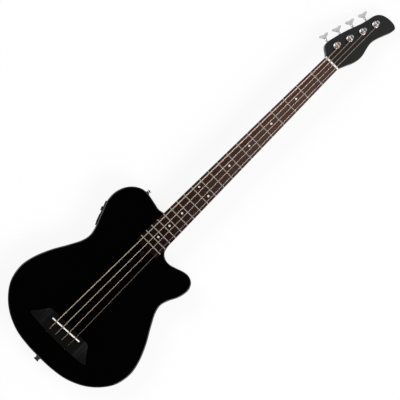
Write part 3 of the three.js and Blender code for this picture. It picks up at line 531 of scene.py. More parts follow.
def loft(name, rings, order=None):
    """A solid extruded from ring to ring. Order, if given, gets each corner's place in its ring."""
    bpy.ops.object.select_all(action="DESELECT")
    bpy.ops.mesh.primitive_circle_add(vertices=len(rings[0]), radius=1, fill_type="NGON")
    piece = bpy.context.object
    piece.name = name
    for corner, point in zip(piece.data.vertices, rings[0]):
        corner.co = point
    edit(piece)
    order = [] if order is None else order
    order += range(len(rings[0]))
    for before, ring in zip(rings, rings[1:]):
        bpy.ops.mesh.extrude_region_move()
        close()
        for corner in piece.data.vertices[-len(ring):]:
            order.append(min(range(len(ring)), key=lambda i: (before[i] - corner.co).length))
            corner.co = ring[order[-1]]
        bpy.ops.object.mode_set(mode="EDIT")
    bpy.ops.mesh.select_all(action="SELECT")
    bpy.ops.mesh.quads_convert_to_tris()
    bpy.ops.mesh.normals_make_consistent(inside=False)
    close()
    return piece


neck_facets = 28
neck_section = [(math.cos(math.pi * i / neck_facets), -math.sin(math.pi * i / neck_facets) ** 0.72)
                for i in range(neck_facets + 1)]
heel_shares = smooth([(0, 1), (0.1, 0.86), (0.25, 0.6), (0.45, 0.32), (0.7, 0.1), (1, 0)], 4)


def shaft_ring(place, width, depth, sunk=0.0):
    return [place @ Vector((0, across * width, down * depth - sunk)) for across, down in neck_section]


joint_low, joint_high = outline[-1], outline[0]
shaft_rings = [[]]
for across, down in neck_section:
    y = across * board_half(body_end)
    share = min(max((y - joint_low.y) / (joint_high.y - joint_low.y), 0), 1)
    x = joint_low.x + (joint_high.x - joint_low.x) * share + 2 * fit
    shaft_rings[0].append(Vector((x, y, body_depth + down * heel_depth)))
for along, extra in heel_shares:
    x = body_end + along * heel_run
    share = (scale_length - x) / (scale_length - body_end)
    depth = neck_depth_at_nut + (neck_depth_at_heel - neck_depth_at_nut) * share
    depth += (heel_depth - depth) * extra
    shaft_rings.append(shaft_ring(at(x, 0, body_depth), board_half(x), depth))
near_nut, depth_near_nut, volute_start = scale_length - 0.03, 0.0211, nut_edge - 0.0065
shaft_rings += [
    shaft_ring(at(near_nut, 0, body_depth), board_half(near_nut), depth_near_nut),
    shaft_ring(at(volute_start, 0, body_depth), nut_width / 2, neck_depth_at_nut),
    shaft_ring(head_place, nut_width / 2, neck_depth_at_nut),
]
volute = [
    (0.0, 0.021, 1), (0.008, 0.0203, 1), (0.016, 0.0175, 1), (0.026, 0.0152, 0.98), (0.042, 0.0125, 0.5)]
sunk = 0.001
for run, depth, width in smooth(volute, 3)[2:]:
    place = head_place @ at(run, 0, 0)
    shaft_rings.append(shaft_ring(place, width * nut_width / 2, depth - sunk, sunk))
neck = loft("neck_satin", shaft_rings)

head_shares = [
    (0, 0.447), (0.032, 0.582), (0.066, 0.77), (0.105, 0.895), (0.16, 0.92), (0.24, 0.862),
    (0.45, 0.65), (0.683, 0.336), (0.8, 0.228), (0.87, 0.17), (0.926, 0.066), (0.968, -0.113),
    (0.992, -0.36), (1, -0.65), (0.993, -0.9), (0.962, -1.085), (0.9, -1.075), (0.802, -0.94),
    (0.683, -0.775), (0.577, -0.708), (0.47, -0.77), (0.387, -0.848), (0.304, -0.865),
    (0.215, -0.79), (0.1, -0.6), (0, -0.447),
]
head_outline = smooth([(along * head_length, across * head_width / 2) for along, across in head_shares], 6)
head = plate("head", head_outline, -head_thickness, 0)
rounded(head, 0.0012, lambda a, b: level(a, b) and max(a.x, b.x) > fit, 4)
bordered(head, 0.0008, 0, -head_thickness)
head.data.transform(head_place)

satin = Finish("black_satin_lacquer", IOR=1.5)
rub = satin.noise((22, 60, 60), 4)
satin.feed(Roughness=0.27 + 0.14 * rub, Base_Color=satin.mix(rub, rgb(11, 11, 11), rgb(17, 16, 15)))
satin.bump(satin.noise((14, 400, 400), 3), 0.000006)
paint(neck, satin)
cut(neck, satin, head, operation="UNION")
edit(neck)
bpy.ops.mesh.remove_doubles(threshold=0.00001)
close()
slant = (joint_high.x - joint_low.x) / (joint_high.y - joint_low.y)
tongue_end = [(joint_low.x + (y - joint_low.y) * slant + fit, y) for y in (-tongue_half, tongue_half)]
tongue = plate(
    "tongue", [(tongue_start, -tongue_half), *tongue_end, (tongue_start, tongue_half)],
    body_depth - tongue_depth, body_depth - 0.0001)
core_start, core_half, core_depth = board_end + 0.03, 0.015, 0.03
rod_slot_half, rod_slot_depth, rod_slot_end = 0.0033, 0.0096, 0.8503
core = block(
    "core", (core_start, -core_half, body_depth - core_depth),
    (body_end + 0.002, core_half, body_depth - 0.001))
rod_slot = block(
    "rod_slot", (board_end, -rod_slot_half, body_depth - rod_slot_depth),
    (rod_slot_end, rod_slot_half, body_depth + 0.003))
cut(neck, satin, core, tongue, operation="UNION")
post_places = {
    joint["name"][5]: at(*joint["pos_m"]) @ head_place.to_3x3().to_4x4()
    for joint in frame["joints"] if joint["name"].startswith("post_")
}
post_hole_radius = 0.0065
post_holes = [bore("post_hole", post_hole_radius, -0.035, 0.01, place) for place in post_places.values()]
cut(neck, mahogany, rod_slot, *post_holes)
fitted(neck, "neck_satin", "neck")

# Fingerboard: an oiled rosewood board glued onto the neck, planed to a long radius across, with
# its edges rolled by hand and a sawn slot for each fret. Its colour carries a painted shade that
# makes it nearly black by the body and browner towards the head.
board_thickness, board_radius, edge_roll = 0.0072, 0.305, 0.0016
board_face = body_depth + board_thickness


def camber(y):
    return math.sqrt(board_radius ** 2 - y ** 2) - board_radius


def board_ring(x):
    half_width, roll = board_half(x), edge_roll
    ring = [Vector((x, half_width, body_depth)), Vector((x, -half_width, body_depth))]
    for i in range(5):
        turn = math.pi / 2 * i / 4
        y = -half_width + roll * (1 - math.cos(turn))
        ring.append(Vector((x, y, board_face + camber(half_width - roll) - roll * (1 - math.sin(turn)))))
    for i in range(1, 16):
        y = (-1 + 2 * i / 16) * (half_width - roll)
        ring.append(Vector((x, y, board_face + camber(y))))
    ring += [Vector((x, -point.y, point.z)) for point in ring[6:1:-1]]
    return ring


board = loft("fingerboard_rosewood", [board_ring(board_end), board_ring(scale_length)])
rosewood = Finish("oiled_rosewood", IOR=1.48, Specular_IOR_Level=0.04)
# Painted shade: this ramp fades the board from nearly black by the body to its browns towards the head.
painted_shade_fade = rosewood.ramp(rosewood.along(), [(0.27, 0.0), (0.43, 0.38), (0.66, 1.0)])
streak = rosewood.noise((5, 110, 110), 4, 0.6)
fibre = rosewood.noise((26, 1500, 1500), 4, 0.7)
pores = rosewood.ramp(rosewood.noise((130, 2600, 2600), 2), [(0.6, 0.0), (0.68, 1.0)])
brown = rosewood.mix(streak, rgb(59, 45, 43), rgb(102, 83, 77))
brown = rosewood.mix(fibre * 0.4, brown, rgb(69, 49, 43))
# The near-black browns mixed in here are the painted shade by the body.
brown = rosewood.mix(painted_shade_fade, rosewood.mix(streak, rgb(10, 3, 2), rgb(24, 11, 8)), brown)
rosewood.feed(Base_Color=rosewood.mix(pores * 0.7, brown, rgb(22, 15, 15)), Roughness=0.4 + 0.2 * fibre)
rosewood.bump(0.4 * fibre - pores, 0.00005)
paint(board, rosewood)


def fret_place(number):
    return scale_length / 2 ** (number / 12)


fret_numbers = range(1, 21)
tang_width, tang_depth = 0.0006, 0.0018


def across_board(name, section, half_width, steps):
    """A section in X and Z that runs across the board and follows its radius."""
    rings = []
    for i in range(steps + 1):
        y = half_width * (1 - 2 * i / steps)
        rings.append([Vector((x, y, z + camber(y))) for x, z in section])
    return loft(name, rings)


slot_half, slot_low, slot_high = tang_width / 2 + 0.00005, -tang_depth - 0.0001, 0.004
slot_section = [
    (-slot_half, slot_low), (slot_half, slot_low), (slot_half, slot_high), (-slot_half, slot_high)]
for number in fret_numbers:
    slot = across_board("slot", slot_section, 0.04, 8)
    slot.data.transform(at(fret_place(number), 0, board_face))
    cut(board, rosewood, slot)

# Position dots: discs of white shell let in flush with the board, two at the octave, and smaller
# white ones along its bass edge where the player looks.
dot_radius, dot_depth, dot_gap, dot_rise = 0.0025, 0.0014, 0.00006, 0.00002
side_dot_radius, side_dot_depth, side_dot_rise, side_dot_height = 0.0011, 0.001, 0.00003, 0.0026
shell = Finish("white_shell", IOR=1.55)
clouds = shell.noise((500, 700, 500), 3, 0.6)
shell.feed(Base_Color=shell.mix(clouds, rgb(228, 228, 222), rgb(250, 250, 248)))
shell.feed(Roughness=0.2 + 0.12 * clouds)
shell.bump(clouds, 0.00001)
octave, octave_across, octave_along = 12, 0.015, 0.004
dots = []
for number in (3, 5, 7, 9, octave, 15, 17, 19):
    x = (fret_place(number) + fret_place(number - 1)) / 2
    for across in ((octave_across, -octave_across) if number == octave else (0,)):
        place = at(x, across, board_face + camber(across))
        place = place @ turned(-math.degrees(math.asin(across / board_radius)), "X")
        cut(board, rosewood, bore("pocket", dot_radius + dot_gap, -0.0015, 0.002, place))
        dots.append(bore("dot", dot_radius, -dot_depth, dot_rise, place))
    for side_x in ((x + octave_along, x - octave_along) if number == octave else (x,)):
        place = at(side_x, board_half(side_x), body_depth + side_dot_height)
        place = place @ turned(90, "X") @ turned(180, "Y")
        dots.append(bore("side_dot", side_dot_radius, -side_dot_depth, side_dot_rise, place, 20))
fitted(board, "rosewood", "fingerboard")


def joined(name, pieces):
    """Several like pieces as one object."""
    bpy.ops.object.select_all(action="DESELECT")
    for piece in pieces:
        piece.select_set(True)
    bpy.context.view_layer.objects.active = pieces[0]
    bpy.ops.object.join()
    pieces[0].name = name
    return pieces[0]


position_dots = joined("position_dots", dots)
paint(position_dots, shell)
fitted(position_dots, "bone")

# Frets: nickel silver wire with a crowned head and a thin tang, hammered into the slots, cut off at
# the board's edges and filed to a slant there.
crown_width, crown_height, end_setback, end_slant = 0.0026, 0.0011, 0.0001, 0.55
fret_wire = Finish("nickel_silver", Base_Color=rgb(232, 229, 222), Metallic=1.0)
fret_wire.feed(Roughness=0.16 + 0.16 * fret_wire.noise((2600, 120, 900), 4))
fret_wire.bump(fret_wire.noise((4000, 160, 900), 2), 0.000006)
tang_half, seated = tang_width / 2, 0.00004
fret_section = [
    (-tang_half, seated), (-tang_half, -tang_depth), (tang_half, -tang_depth), (tang_half, seated)]
for i in range(9):
    turn = math.pi * i / 8
    fret_section.append((crown_width / 2 * math.cos(turn), seated + crown_height * math.sin(turn) ** 0.8))
for number in fret_numbers:
    x = fret_place(number)
    name = f"fret_{number:02d}"
    wire = across_board(f"{name}_wire", fret_section, board_half(x), 14)
    for side in (1, -1):
        end_y = side * (board_half(x) - end_setback)
        sawn(wire, (0, end_y, 0), (0, side, end_slant), use_fill=True, clear_outer=True)
    wire.data.transform(at(x, 0, board_face))
    paint(wire, fret_wire)
    fitted(wire, "fret_wire", name, angle=40)

# Nut: a bone blank glued in at the end of the board, its top filed to the board's radius, with a
# round-bottomed groove for each string.
strings = ("e", "a", "d", "g")
string_radii = {"e": 0.0013, "a": 0.00105, "d": 0.000825, "g": 0.000625}
nut_spacing, saddle_spacing = 0.0096, 0.019
nut_ys = {name: nut_spacing * (1.5 - i) for i, name in enumerate(strings)}
saddle_ys = {name: saddle_spacing * (1.5 - i) for i, name in enumerate(strings)}
groove_height, groove_gap, crest_height = body_depth + 0.0087, 0.0001, body_depth + 0.0129
nut_zs = {name: groove_height + camber(nut_ys[name]) + string_radii[name] for name in strings}
saddle_zs = {name: crest_height + camber(saddle_ys[name]) + string_radii[name] for name in strings}

bone = Finish("polished_bone", IOR=1.54)
marrow = bone.noise((60, 60, 60), 4, 0.6)
bone.feed(Base_Color=bone.mix(marrow, rgb(244, 241, 233), rgb(254, 253, 249)))
bone.feed(Roughness=0.25 + 0.2 * marrow)
bone.bump(bone.noise((900, 120, 900), 3), 0.00001)
nut_rings = []
for i in range(17):
    y = nut_width / 2 * (1 - i / 8)
    top = 0.0092 + camber(y) * 0.8 - 0.0006 * abs(1 - i / 8) ** 12
    section = [
        (0, 0), (nut_length, 0), (nut_length, top - 0.0022), (nut_length - 0.0007, top - 0.001),
        (nut_length - 0.0018, top - 0.00035), (0.0014, top), (0.0006, top - 0.0001), (0, top - 0.0006),
    ]
    nut_rings.append([Vector((scale_length + x, y, body_depth + z)) for x, z in section])
nut = loft("nut_bone", nut_rings)
paint(nut, bone)
for name in strings:
    place = at(scale_length, nut_ys[name], nut_zs[name]) @ turned(92, "Y")
    cut(nut, bone, bore("groove", string_radii[name] + groove_gap, -0.01, 0.02, place, 24))
fitted(nut, "bone", "nut")

# Bridge: a slab of ebony glued onto the top, with two wings that are carved down to their tips, a
# slanted slot for the saddle, and a hole through to the back edge for each string.
bridge_span, bridge_front, bridge_back, bridge_height = 0.1746, 0.01, 0.036, 0.009
wing_tip, wing_curve = 0.003, 0.12
saddle_length, saddle_width, saddle_centre = 0.0817, 0.0034, -0.0025
saddle_turn = 2.94
hole_exit, hole_rise = -0.023, 0.0046
bridge_shares = [
    (0, 0), (0, 0.34), (0, 0.6), (0.04, 0.69), (0.21, 0.76), (0.44, 0.84), (0.65, 0.93), (0.8, 1),
    (0.87, 0.98), (0.93, 0.85), (0.96, 0.6), (0.99, 0.3), (1, 0),
]
bridge_half = [
    (bridge_front - back * (bridge_front + bridge_back), across * bridge_span / 2)
    for back, across in bridge_shares
]
front_line = [Vector(point) for point in bridge_half[:3]]
wing_line = smooth(bridge_half[2:8], 4)[1:]
back_line = smooth(bridge_half[7:], 4)[1:]
bridge_side = [*front_line, *wing_line, *back_line]
bridge_outline = [*bridge_side, *(Vector((p.x, -p.y)) for p in reversed(bridge_side[1:-1]))]
bridge_top = body_depth + bridge_height
bridge = plate("bridge_ebony", bridge_outline, body_depth, bridge_top)
tip_run = bridge_span / 2 - saddle_length / 2
carve_start = saddle_length / 2 + saddle_width
lean = math.atan((bridge_height - wing_tip) / tip_run)
carve_y = bridge_span / 2 - tip_run / 2 + math.sin(lean) * wing_curve
carve_z = bridge_top - (bridge_height - wing_tip) / 2 + math.cos(lean) * wing_curve
for i in range(22):
    saw_y = carve_start + (bridge_span / 2 - carve_start) * i / 22
    for side in (1, -1):
        sawn(bridge, (0, side * saw_y, 0), (0, 1, 0))
for corner in bridge.data.vertices:
    if corner.co.z > bridge_top - fit and abs(corner.co.y) > carve_start:
        carved = carve_z - math.sqrt(wing_curve ** 2 - (abs(corner.co.y) - carve_y) ** 2)
        corner.co.z = min(bridge_top, carved)


def on_bridge_rim(a, b):
    """True for an edge between the bridge's upright side and its upper face."""
    return min(a.z, b.z) > body_depth + fit and frozenset((tuple(a), tuple(b))) in rim_edges


sides = [face for face in bridge.data.polygons if abs(face.normal.z) < 0.02 and face.normal.length > 0]
tops = [face for face in bridge.data.polygons if face.normal.z > 0.5]
side_keys, top_keys = [{key for face in faces for key in face.edge_keys} for faces in (sides, tops)]
rim_edges = {frozenset(tuple(bridge.data.vertices[i].co) for i in key) for key in side_keys & top_keys}
rounded(bridge, 0.0009, on_bridge_rim, 3)
edit(bridge)
bpy.ops.mesh.quads_convert_to_tris()
close()

ebony = Finish("black_ebony", IOR=1.5, Specular_IOR_Level=0.063)
fibre = ebony.noise((700, 18, 700), 4, 0.65)
ebony.feed(Base_Color=ebony.mix(fibre, rgb(7, 7, 7), rgb(16, 14, 13)), Roughness=0.3 + 0.16 * fibre)
ebony.bump(fibre, 0.00004)
paint(bridge, ebony)
saddle_foot = bridge_top - 0.006
saddle_place = at(saddle_centre, 0, saddle_foot) @ turned(saddle_turn, "Z")
slot_half, slot_reach = saddle_width / 2 + 0.0001, saddle_length / 2 + fit
saddle_slot = block(
    "saddle_slot", (-slot_half, -slot_reach, 0), (slot_half, slot_reach, overrun), saddle_place)
cutters = [saddle_slot]


def towards(direction):
    return direction.to_track_quat("Z", "Y").to_matrix().to_4x4()


def lathed(name, profile, sides, place):
    """A turned solid about Z from pairs of radius and height in millimetres, then set in place."""
    rings = []
    for radius, height in profile:
        rings.append([swung(radius, 2 * math.pi * i / sides, height) / 1000 for i in range(sides)])
    piece = loft(name, rings)
    piece.data.transform(place)
    return piece


hole_line = Vector((hole_exit + bridge_back, 0, bridge_height - hole_rise)).normalized()
hole_mouths = {name: Vector((hole_exit, saddle_ys[name], bridge_top)) for name in strings}
hole_seats = {name: Vector((-bridge_back, saddle_ys[name], body_depth + hole_rise)) for name in strings}
crossings = {}
for name in strings:
    crossing_x = saddle_centre - math.tan(math.radians(saddle_turn)) * saddle_ys[name]
    crossings[name] = Vector((crossing_x, saddle_ys[name], saddle_zs[name]))
    ramp_line = (crossings[name] - hole_mouths[name]).normalized()
    hole_radius, reach = string_radii[name] + fit, (hole_mouths[name] - hole_seats[name]).length
    hole_profile = [(2.6, -20), (2.6, 4.2), (hole_radius * 1000, 4.2), (hole_radius * 1000, reach * 1000)]
    hole = lathed("hole", hole_profile, 24, at(*hole_seats[name]) @ towards(hole_line))
    ramp_place = at(*hole_mouths[name]) @ towards(ramp_line)
    cutters += [hole, bore("ramp", hole_radius, -0.001, overrun, ramp_place, 24)]
cut(bridge, ebony, *cutters)
fitted(bridge, "ebony", "bridge")

# Saddle: a strip of bone that stands in the slot on the piezo strip, higher in the middle to match
# the board's radius, with a rounded crest that the strings bend over.
string_gap, end_drop, strip_height, crest_round = 0.0001, 0.0012, 0.0022, 0.0013
saddle_rise = crest_height - string_gap - saddle_foot
saddle_rings = []
for i in range(25):
    y = saddle_length / 2 * (1 - i / 12)
    top = saddle_rise + camber(y) - end_drop * abs(1 - i / 12) ** 16
    section = [(-saddle_width / 2, strip_height), (saddle_width / 2, strip_height)]
    for step in range(9):
        turn = math.pi * step / 8
        drop = crest_round * (1 - math.sin(turn) ** 0.9)
        section.append((saddle_width / 2 * math.cos(turn), top - drop))
    saddle_rings.append([saddle_place @ Vector((x, y, z)) for x, z in section])
saddle = loft("saddle_bone", saddle_rings)
paint(saddle, bone)
fitted(saddle, "bone", "saddle")

# Strings: steel cores with phosphor bronze wound round them, each with a brass ball at its end. They
# run from the bridge over saddle and nut, and lie in turns round the posts, clear of them.
string_turns = {"e": 1.75, "a": 2, "d": 2.25, "g": 2.75}
first_turn, turn_gap, turn_steps, waist_radius = 0.005, 0.00115, 32, 0.0037
wire_sides, wrap_share = 12, 0.42
brass = Finish("turned_brass", Base_Color=rgb(206, 176, 108), Metallic=1.0)
brass.feed(Roughness=0.25 + 0.2 * brass.noise((700, 700, 700), 3))
brass.bump(brass.noise((900, 200, 900), 2), 0.00001)


def wound(name, body_end_colour, head_end_colour):
    """Bronze wound round steel, darker over the body and brighter towards the head."""
    finish = Finish(name, Metallic=1.0)
    tarnish = finish.noise((22, 240, 240), 4, 0.6)
    colour = finish.mix(finish.ramp(finish.along(), [(0.28, 0.0), (0.48, 0.6), (0.8, 1.0)]), body_end_colour, head_end_colour)
    finish.feed(Base_Color=finish.mix(tarnish * 0.3, colour, rgb(78, 60, 42)), Roughness=0.3 + 0.14 * tarnish)
    winding = finish.node("ShaderNodeUVMap", {"uv_map": "winding"})
    turns = finish.node("ShaderNodeSeparateXYZ", {}, {0: winding})
    wraps = (turns + turns.also("Y")) * (2 * math.pi)
    finish.bump(wraps.maths("SINE", wraps), 0.00001, 0.6)
    return finish


string_finishes = {
    "e": wound("bronze_winding_e", rgb(140, 127, 109), rgb(206, 175, 156)),
    "a": wound("bronze_winding_a", rgb(140, 127, 109), rgb(188, 160, 140)),
    "d": wound("bronze_winding_d", rgb(144, 122, 103), rgb(186, 155, 138)),
    "g": wound("bronze_winding_g", rgb(90, 83, 78), rgb(206, 184, 168)),
}


def tube(name, points, radius, slack=0.0):
    """A wire along points, with the count of its wraps laid out in a UV map of its own."""
    rings, side_axis, sides = [], Vector((0, 1, 0)), wire_sides
    for before, here, after in zip(points[:1] + points, points, points[1:] + points[-1:]):
        line = (after - before).normalized()
        side_axis = (side_axis - line * side_axis.dot(line)).normalized()
        up_axis = line.cross(side_axis)
        axes = Matrix((side_axis, up_axis, line)).transposed()
        rings.append([here + axes @ swung(radius - slack, 2 * math.pi * i / sides) for i in range(sides)])
    order, lengths = [], [0.0]
    wire = loft(name, rings, order)
    for before, here in zip(points, points[1:]):
        lengths.append(lengths[-1] + (here - before).length)
    layer = wire.data.uv_layers.new(name="winding")
    for face in wire.data.polygons:
        corners = [wire.data.loops[i].vertex_index for i in face.loop_indices]
        across = {order[corner] for corner in corners}
        for loop, corner in zip(face.loop_indices, corners):
            around = order[corner]
            if len(across) == 2 and across == {0, sides - 1} and around == 0:
                around = sides
            layer.data[loop].uv = (lengths[corner // sides] / (radius * wrap_share), around / sides)
    return wire


wind_ends = {}
for name in strings:
    radius = string_radii[name]
    mouth, seat, over = hole_mouths[name], hole_seats[name], crossings[name]
    nut_point = Vector((scale_length, nut_ys[name], nut_zs[name]))
    pull, run = (over - mouth).normalized(), (nut_point - over).normalized()
    points = [seat + hole_line * 0.003, mouth - hole_line * 0.004, mouth - hole_line * 0.0012]
    points += [mouth + pull * 0.0012, over - pull * 0.002, over - pull * 0.0007 - Vector((0, 0, 0.0001))]
    points += [over + run * 0.0008, over + run * 0.0025]
    points += [over.lerp(nut_point, share) for share in (0.02, 0.25, 0.5, 0.75, 0.98)]
    points += [nut_point - run * 0.0006, nut_point + Vector((0.001, 0, 0))]
    around = post_places[name]
    wind_radius = waist_radius + fit + radius
    start = around @ Vector((0, -wind_radius, first_turn))
    back = nut_point + Vector((0.0042, 0, 0))
    points += [back - Vector((0.0006, 0, 0)), back + (start - back).normalized() * 0.001]
    points += [back.lerp(start, share) for share in (0.3, 0.7, 0.94)]
    climb = 2 * radius + turn_gap
    for k in range(round(string_turns[name] * turn_steps) + 1):
        angle = 2 * math.pi * k / turn_steps - math.pi / 2
        height = first_turn + climb * k / turn_steps
        points.append(around @ swung(wind_radius, angle, height))
    wind_ends[name] = (angle, height, wind_radius)
    wire = tube(f"string_{name}_wire", points, radius)
    paint(wire, string_finishes[name])
    fitted(wire, "bronze", f"string_{name}", angle=60)

# String tails: the last stretch of each string, from its turns round the post to the slot and down
# into the hole in the post's middle, cut from the same bronze wound wire. They turn with the posts.
key_joints = {joint["name"][4]: joint for joint in frame["joints"] if joint["name"].startswith("key_")}
tuner_places = {}
for name in strings:
    key_line = head_place.to_3x3().transposed() @ Vector(key_joints[name]["axis"])
    tuner_turn = -math.atan2(key_line.x, key_line.y)
    tuner_places[name] = post_places[name] @ Matrix.Rotation(tuner_turn, 4, "Z")
post_height, post_slot_depth = 0.017, 0.005
slot_floor = post_height - post_slot_depth
for name in strings:
    radius = string_radii[name]
    angle, height, wind_radius = wind_ends[name]
    slot_angle = math.pi / 2 + tuner_turn
    while slot_angle < angle + 0.6:
        slot_angle += math.pi
    top = slot_floor + radius + 0.0002
    points = []
    for k in range(-3, 15):
        share = max(k, 0) / 14
        turn = angle + (slot_angle - angle) * (share if k > 0 else k * 0.08)
        rise = height + (top - height) * share ** 1.5 if k > 0 else height + k * 0.00008
        points.append(swung(wind_radius, turn, rise))
    inward = swung(-1, slot_angle)
    rim_point = points.pop()
    points += [rim_point + inward * reach for reach in (0.0006, 0.0014, 0.0026)]
    points += [Vector((0, 0, top - 0.0008)) - inward * 0.0006]
    points += [Vector((0, 0, top - drop)) for drop in (0.003, 0.006)]
    tail = tube(f"string_{name}_tail", [post_places[name] @ point for point in points], radius, 0.00003)
    paint(tail, string_finishes[name])
    fitted(tail, "bronze", body=f"post_{name}", angle=60)

# Ball ends: turned brass cylinders that the ends of the strings are looped round. Each sits in the
# wide mouth of its hole, in the back edge of the bridge.
balls = []
for name in strings:
    ball = bore("ball", 0.0023, 0.0008, 0.004, sides=28)
    rounded(ball, 0.0005)
    ball.data.transform(at(*hole_seats[name]) @ towards(hole_line))
    balls.append(ball)
ball_ends = joined("ball_ends", balls)
paint(ball_ends, brass)
fitted(ball_ends, "brass")

# Bushings: chromed brass ferrules pressed into the head from above, each with a round flange that
# the post turns in.
chrome = Finish("chrome_plate", Base_Color=rgb(228, 229, 230), Metallic=1.0)
smear = chrome.noise((90, 90, 90), 4, 0.6)
chrome.feed(Roughness=0.12 + 0.14 * smear)
chrome.bump(chrome.noise((1400, 1400, 1400), 2), 0.000002)

bushing_bore = 0.0049
bushing_profile = [
    (6.2, -9), (6.2, 0.02), (7.85, 0.02), (8, 0.2), (8, 0.8), (7.85, 1.15), (7.4, 1.5), (6.7, 1.85),
    (6.2, 2), (5.3, 2), (5.05, 1.9),
]
for name, place in tuner_places.items():
    bushing = lathed(f"bushing_{name}", bushing_profile, 48, place)
    paint(bushing, chrome)
    cut(bushing, chrome, bore("hole", bushing_bore, -0.02, 0.01, place, 48))
    fitted(bushing, "chrome", f"tuner_bushing_{name}")

# Plates: stamped and chromed base plates screwed to the back of the head, each with two lugs bent
# up that carry the worm.
plate_top, plate_bottom = -0.0153, -0.0168
worm_offset, key_axis, lug_width, lug_thickness, lug_span = 0.009, -0.0195, 0.008, 0.0016, 0.015
lug_height, shaft_bore = 0.0064, 0.00215
plate_length, plate_width, plate_towards_nut = 0.031, 0.027, 0.004


def round_rectangle(length, width, corner, steps=5):
    points = []
    for x, y, start in ((1, 1, 0), (-1, 1, 90), (-1, -1, 180), (1, -1, 270)):
        centre = Vector((x * (length / 2 - corner), y * (width / 2 - corner), 0))
        points += [centre + swung(corner, math.radians(start + 90 * i / steps)) for i in range(steps + 1)]
    return points


screw_profile = [
    (0.9, 6), (0.9, 0.4), (1.0, 0), (2.1, 0), (2.1, -0.25), (1.85, -0.6), (1.3, -0.85), (0.6, -0.95)]


def screw(name, place, finish, scale=1.0):
    """A cross-headed wood screw with its head below and its shank along Z."""
    piece = lathed(name, [(r * scale, h * scale) for r, h in screw_profile], 24, Matrix())
    paint(piece, finish)
    reach, half_width, floor_depth = 0.0013 * scale, 0.0003 * scale, 0.0004 * scale
    for turn in (0, 90):
        low, high = (-reach, -half_width, -0.002), (reach, half_width, -floor_depth)
        cut(piece, finish, block("cross", low, high, turned(turn, "Z")))
    piece.data.transform(place)
    return piece


sheet_outline = round_rectangle(plate_length, plate_width, 0.0025)
lug_outline = round_rectangle(lug_width, 2 * lug_height, 0.003)
for name, place in tuner_places.items():
    sheet = plate(f"plate_{name}", sheet_outline, plate_bottom, plate_top)
    rounded(sheet, 0.0003, steps=2)
    sheet.data.transform(at(-plate_towards_nut, 0, 0))
    paint(sheet, chrome)
    for side in (1, -1):
        lug = plate("lug", lug_outline, -lug_thickness / 2, lug_thickness / 2)
        rounded(lug, 0.0003, steps=2)
        lug_y = side * (lug_span - lug_thickness) / 2
        lug.data.transform(at(-worm_offset, lug_y, plate_bottom) @ turned(90, "X"))
        sawn(lug, (0, 0, plate_top - fit), (0, 0, 1), use_fill=True, clear_outer=True)
        cut(sheet, chrome, lug, operation="UNION")
    hole = bore("hole", bushing_bore, -0.03, 0.01, sides=40)
    worm_place = at(-worm_offset, 0, key_axis) @ turned(-90, "X")
    cut(sheet, chrome, hole, bore("shaft_hole", shaft_bore, -0.02, 0.02, worm_place, 24))
    screw_places = [at(x, y, plate_bottom) for x in (0.009, -0.017) for y in (0.0106, -0.0106)]
    sheet = joined(f"plate_{name}", [sheet, *(screw("screw", spot, chrome) for spot in screw_places)])
    sheet.data.transform(place)
    fitted(sheet, "chrome", f"tuner_plate_{name}")

# Posts: turned and chromed, waisted where the string winds, with a slot across the top and a hole
# down the middle. A brass worm wheel is screwed to the lower end.
post_profile = [
    (4.6, -21.9), (4.6, 2.6), (3.7, 2.95), (3.7, 14.6), (3.85, 14.75), (5, 15.1), (5.2, 15.3),
    (5.2, 16.5), (5.1, 16.8), (4.8, 17), (1.9, 17),
]
wheel_bottom, wheel_top, well_radius = -0.0219, -0.0171, 0.0015
teeth = [swung(0.0062 - (0, 0.0002, 0.0009, 0.0009)[i % 4], math.pi * i / 40) for i in range(80)]
for name, place in tuner_places.items():
    post = lathed(f"post_{name}", post_profile, 48, Matrix())
    paint(post, chrome)
    slot = block("slot", (-well_radius, -0.02, slot_floor), (well_radius, 0.02, 0.03))
    cut(post, chrome, slot, bore("well", well_radius, slot_floor - 0.008, 0.03, sides=24))
    post.data.transform(place)
    fitted(post, "chrome", f"tuner_post_{name}", body=f"post_{name}")
    wheel = plate("wheel", teeth, wheel_bottom, wheel_top)
    rounded(wheel, 0.0002, steps=1)
    paint(wheel, brass)
    centre_screw = screw("screw", at(0, 0, wheel_bottom), steel, 1.3)
    wheel = joined(f"wheel_{name}", [wheel, centre_screw])
    wheel.data.transform(place)
    fitted(wheel, "brass", body=f"post_{name}")

# Keys: a steel worm on a shaft between the lugs, with a collar and a cast paddle of two lobes on
# its outer end, all plated in satin chrome.
key_reach, paddle_length, paddle_width, paddle_thickness = 0.028, 0.013, 0.0255, 0.0032
paddle_shares = [
    (0, 0.2), (0.14, 0.27), (0.34, 0.5), (0.52, 0.78), (0.67, 0.95), (0.8, 1), (0.92, 0.93),
    (1, 0.76), (0.99, 0.5), (0.91, 0.22), (0.88, 0),
]
paddle_half = smooth([
    (across * paddle_width / 2, key_reach + along * paddle_length) for along, across in paddle_shares], 4)
satin_chrome = Finish("satin_chrome", Base_Color=rgb(236, 237, 239), Metallic=0.75)
handled = satin_chrome.noise((110, 110, 110), 4, 0.6)
satin_chrome.feed(Roughness=0.36 + 0.16 * handled)
satin_chrome.bump(satin_chrome.noise((900, 900, 900), 2), 0.000004)
paddle_outline = [*paddle_half, *(Vector((-p.x, p.y)) for p in reversed(paddle_half[:-1]))]
thread_sides, thread_rings, worm_length, threads = 20, 72, 0.01, 4
worm_core, thread_height = 0.0016, 0.0008
thread_rows = []
for i in range(thread_rings + 1):
    share = i / thread_rings
    fade = min(1, 6 * (0.5 - abs(share - 0.5)) + 0.2)
    row = []
    for j in range(thread_sides):
        phase = (share * threads - j / thread_sides) % 1
        radius = worm_core + thread_height * fade * min(1, max(0, 1.6 - abs(phase - 0.5) * 4.4))
        row.append(swung(radius, 2 * math.pi * j / thread_sides, worm_length * (share - 0.5)))
    thread_rows.append(row)
shaft_profile = [
    (2, 4.9), (2, 22.6), (2.2, 23), (3.05, 23), (3.2, 23.15), (3.2, 27.3), (3.05, 27.8), (2.4, 28.25)]
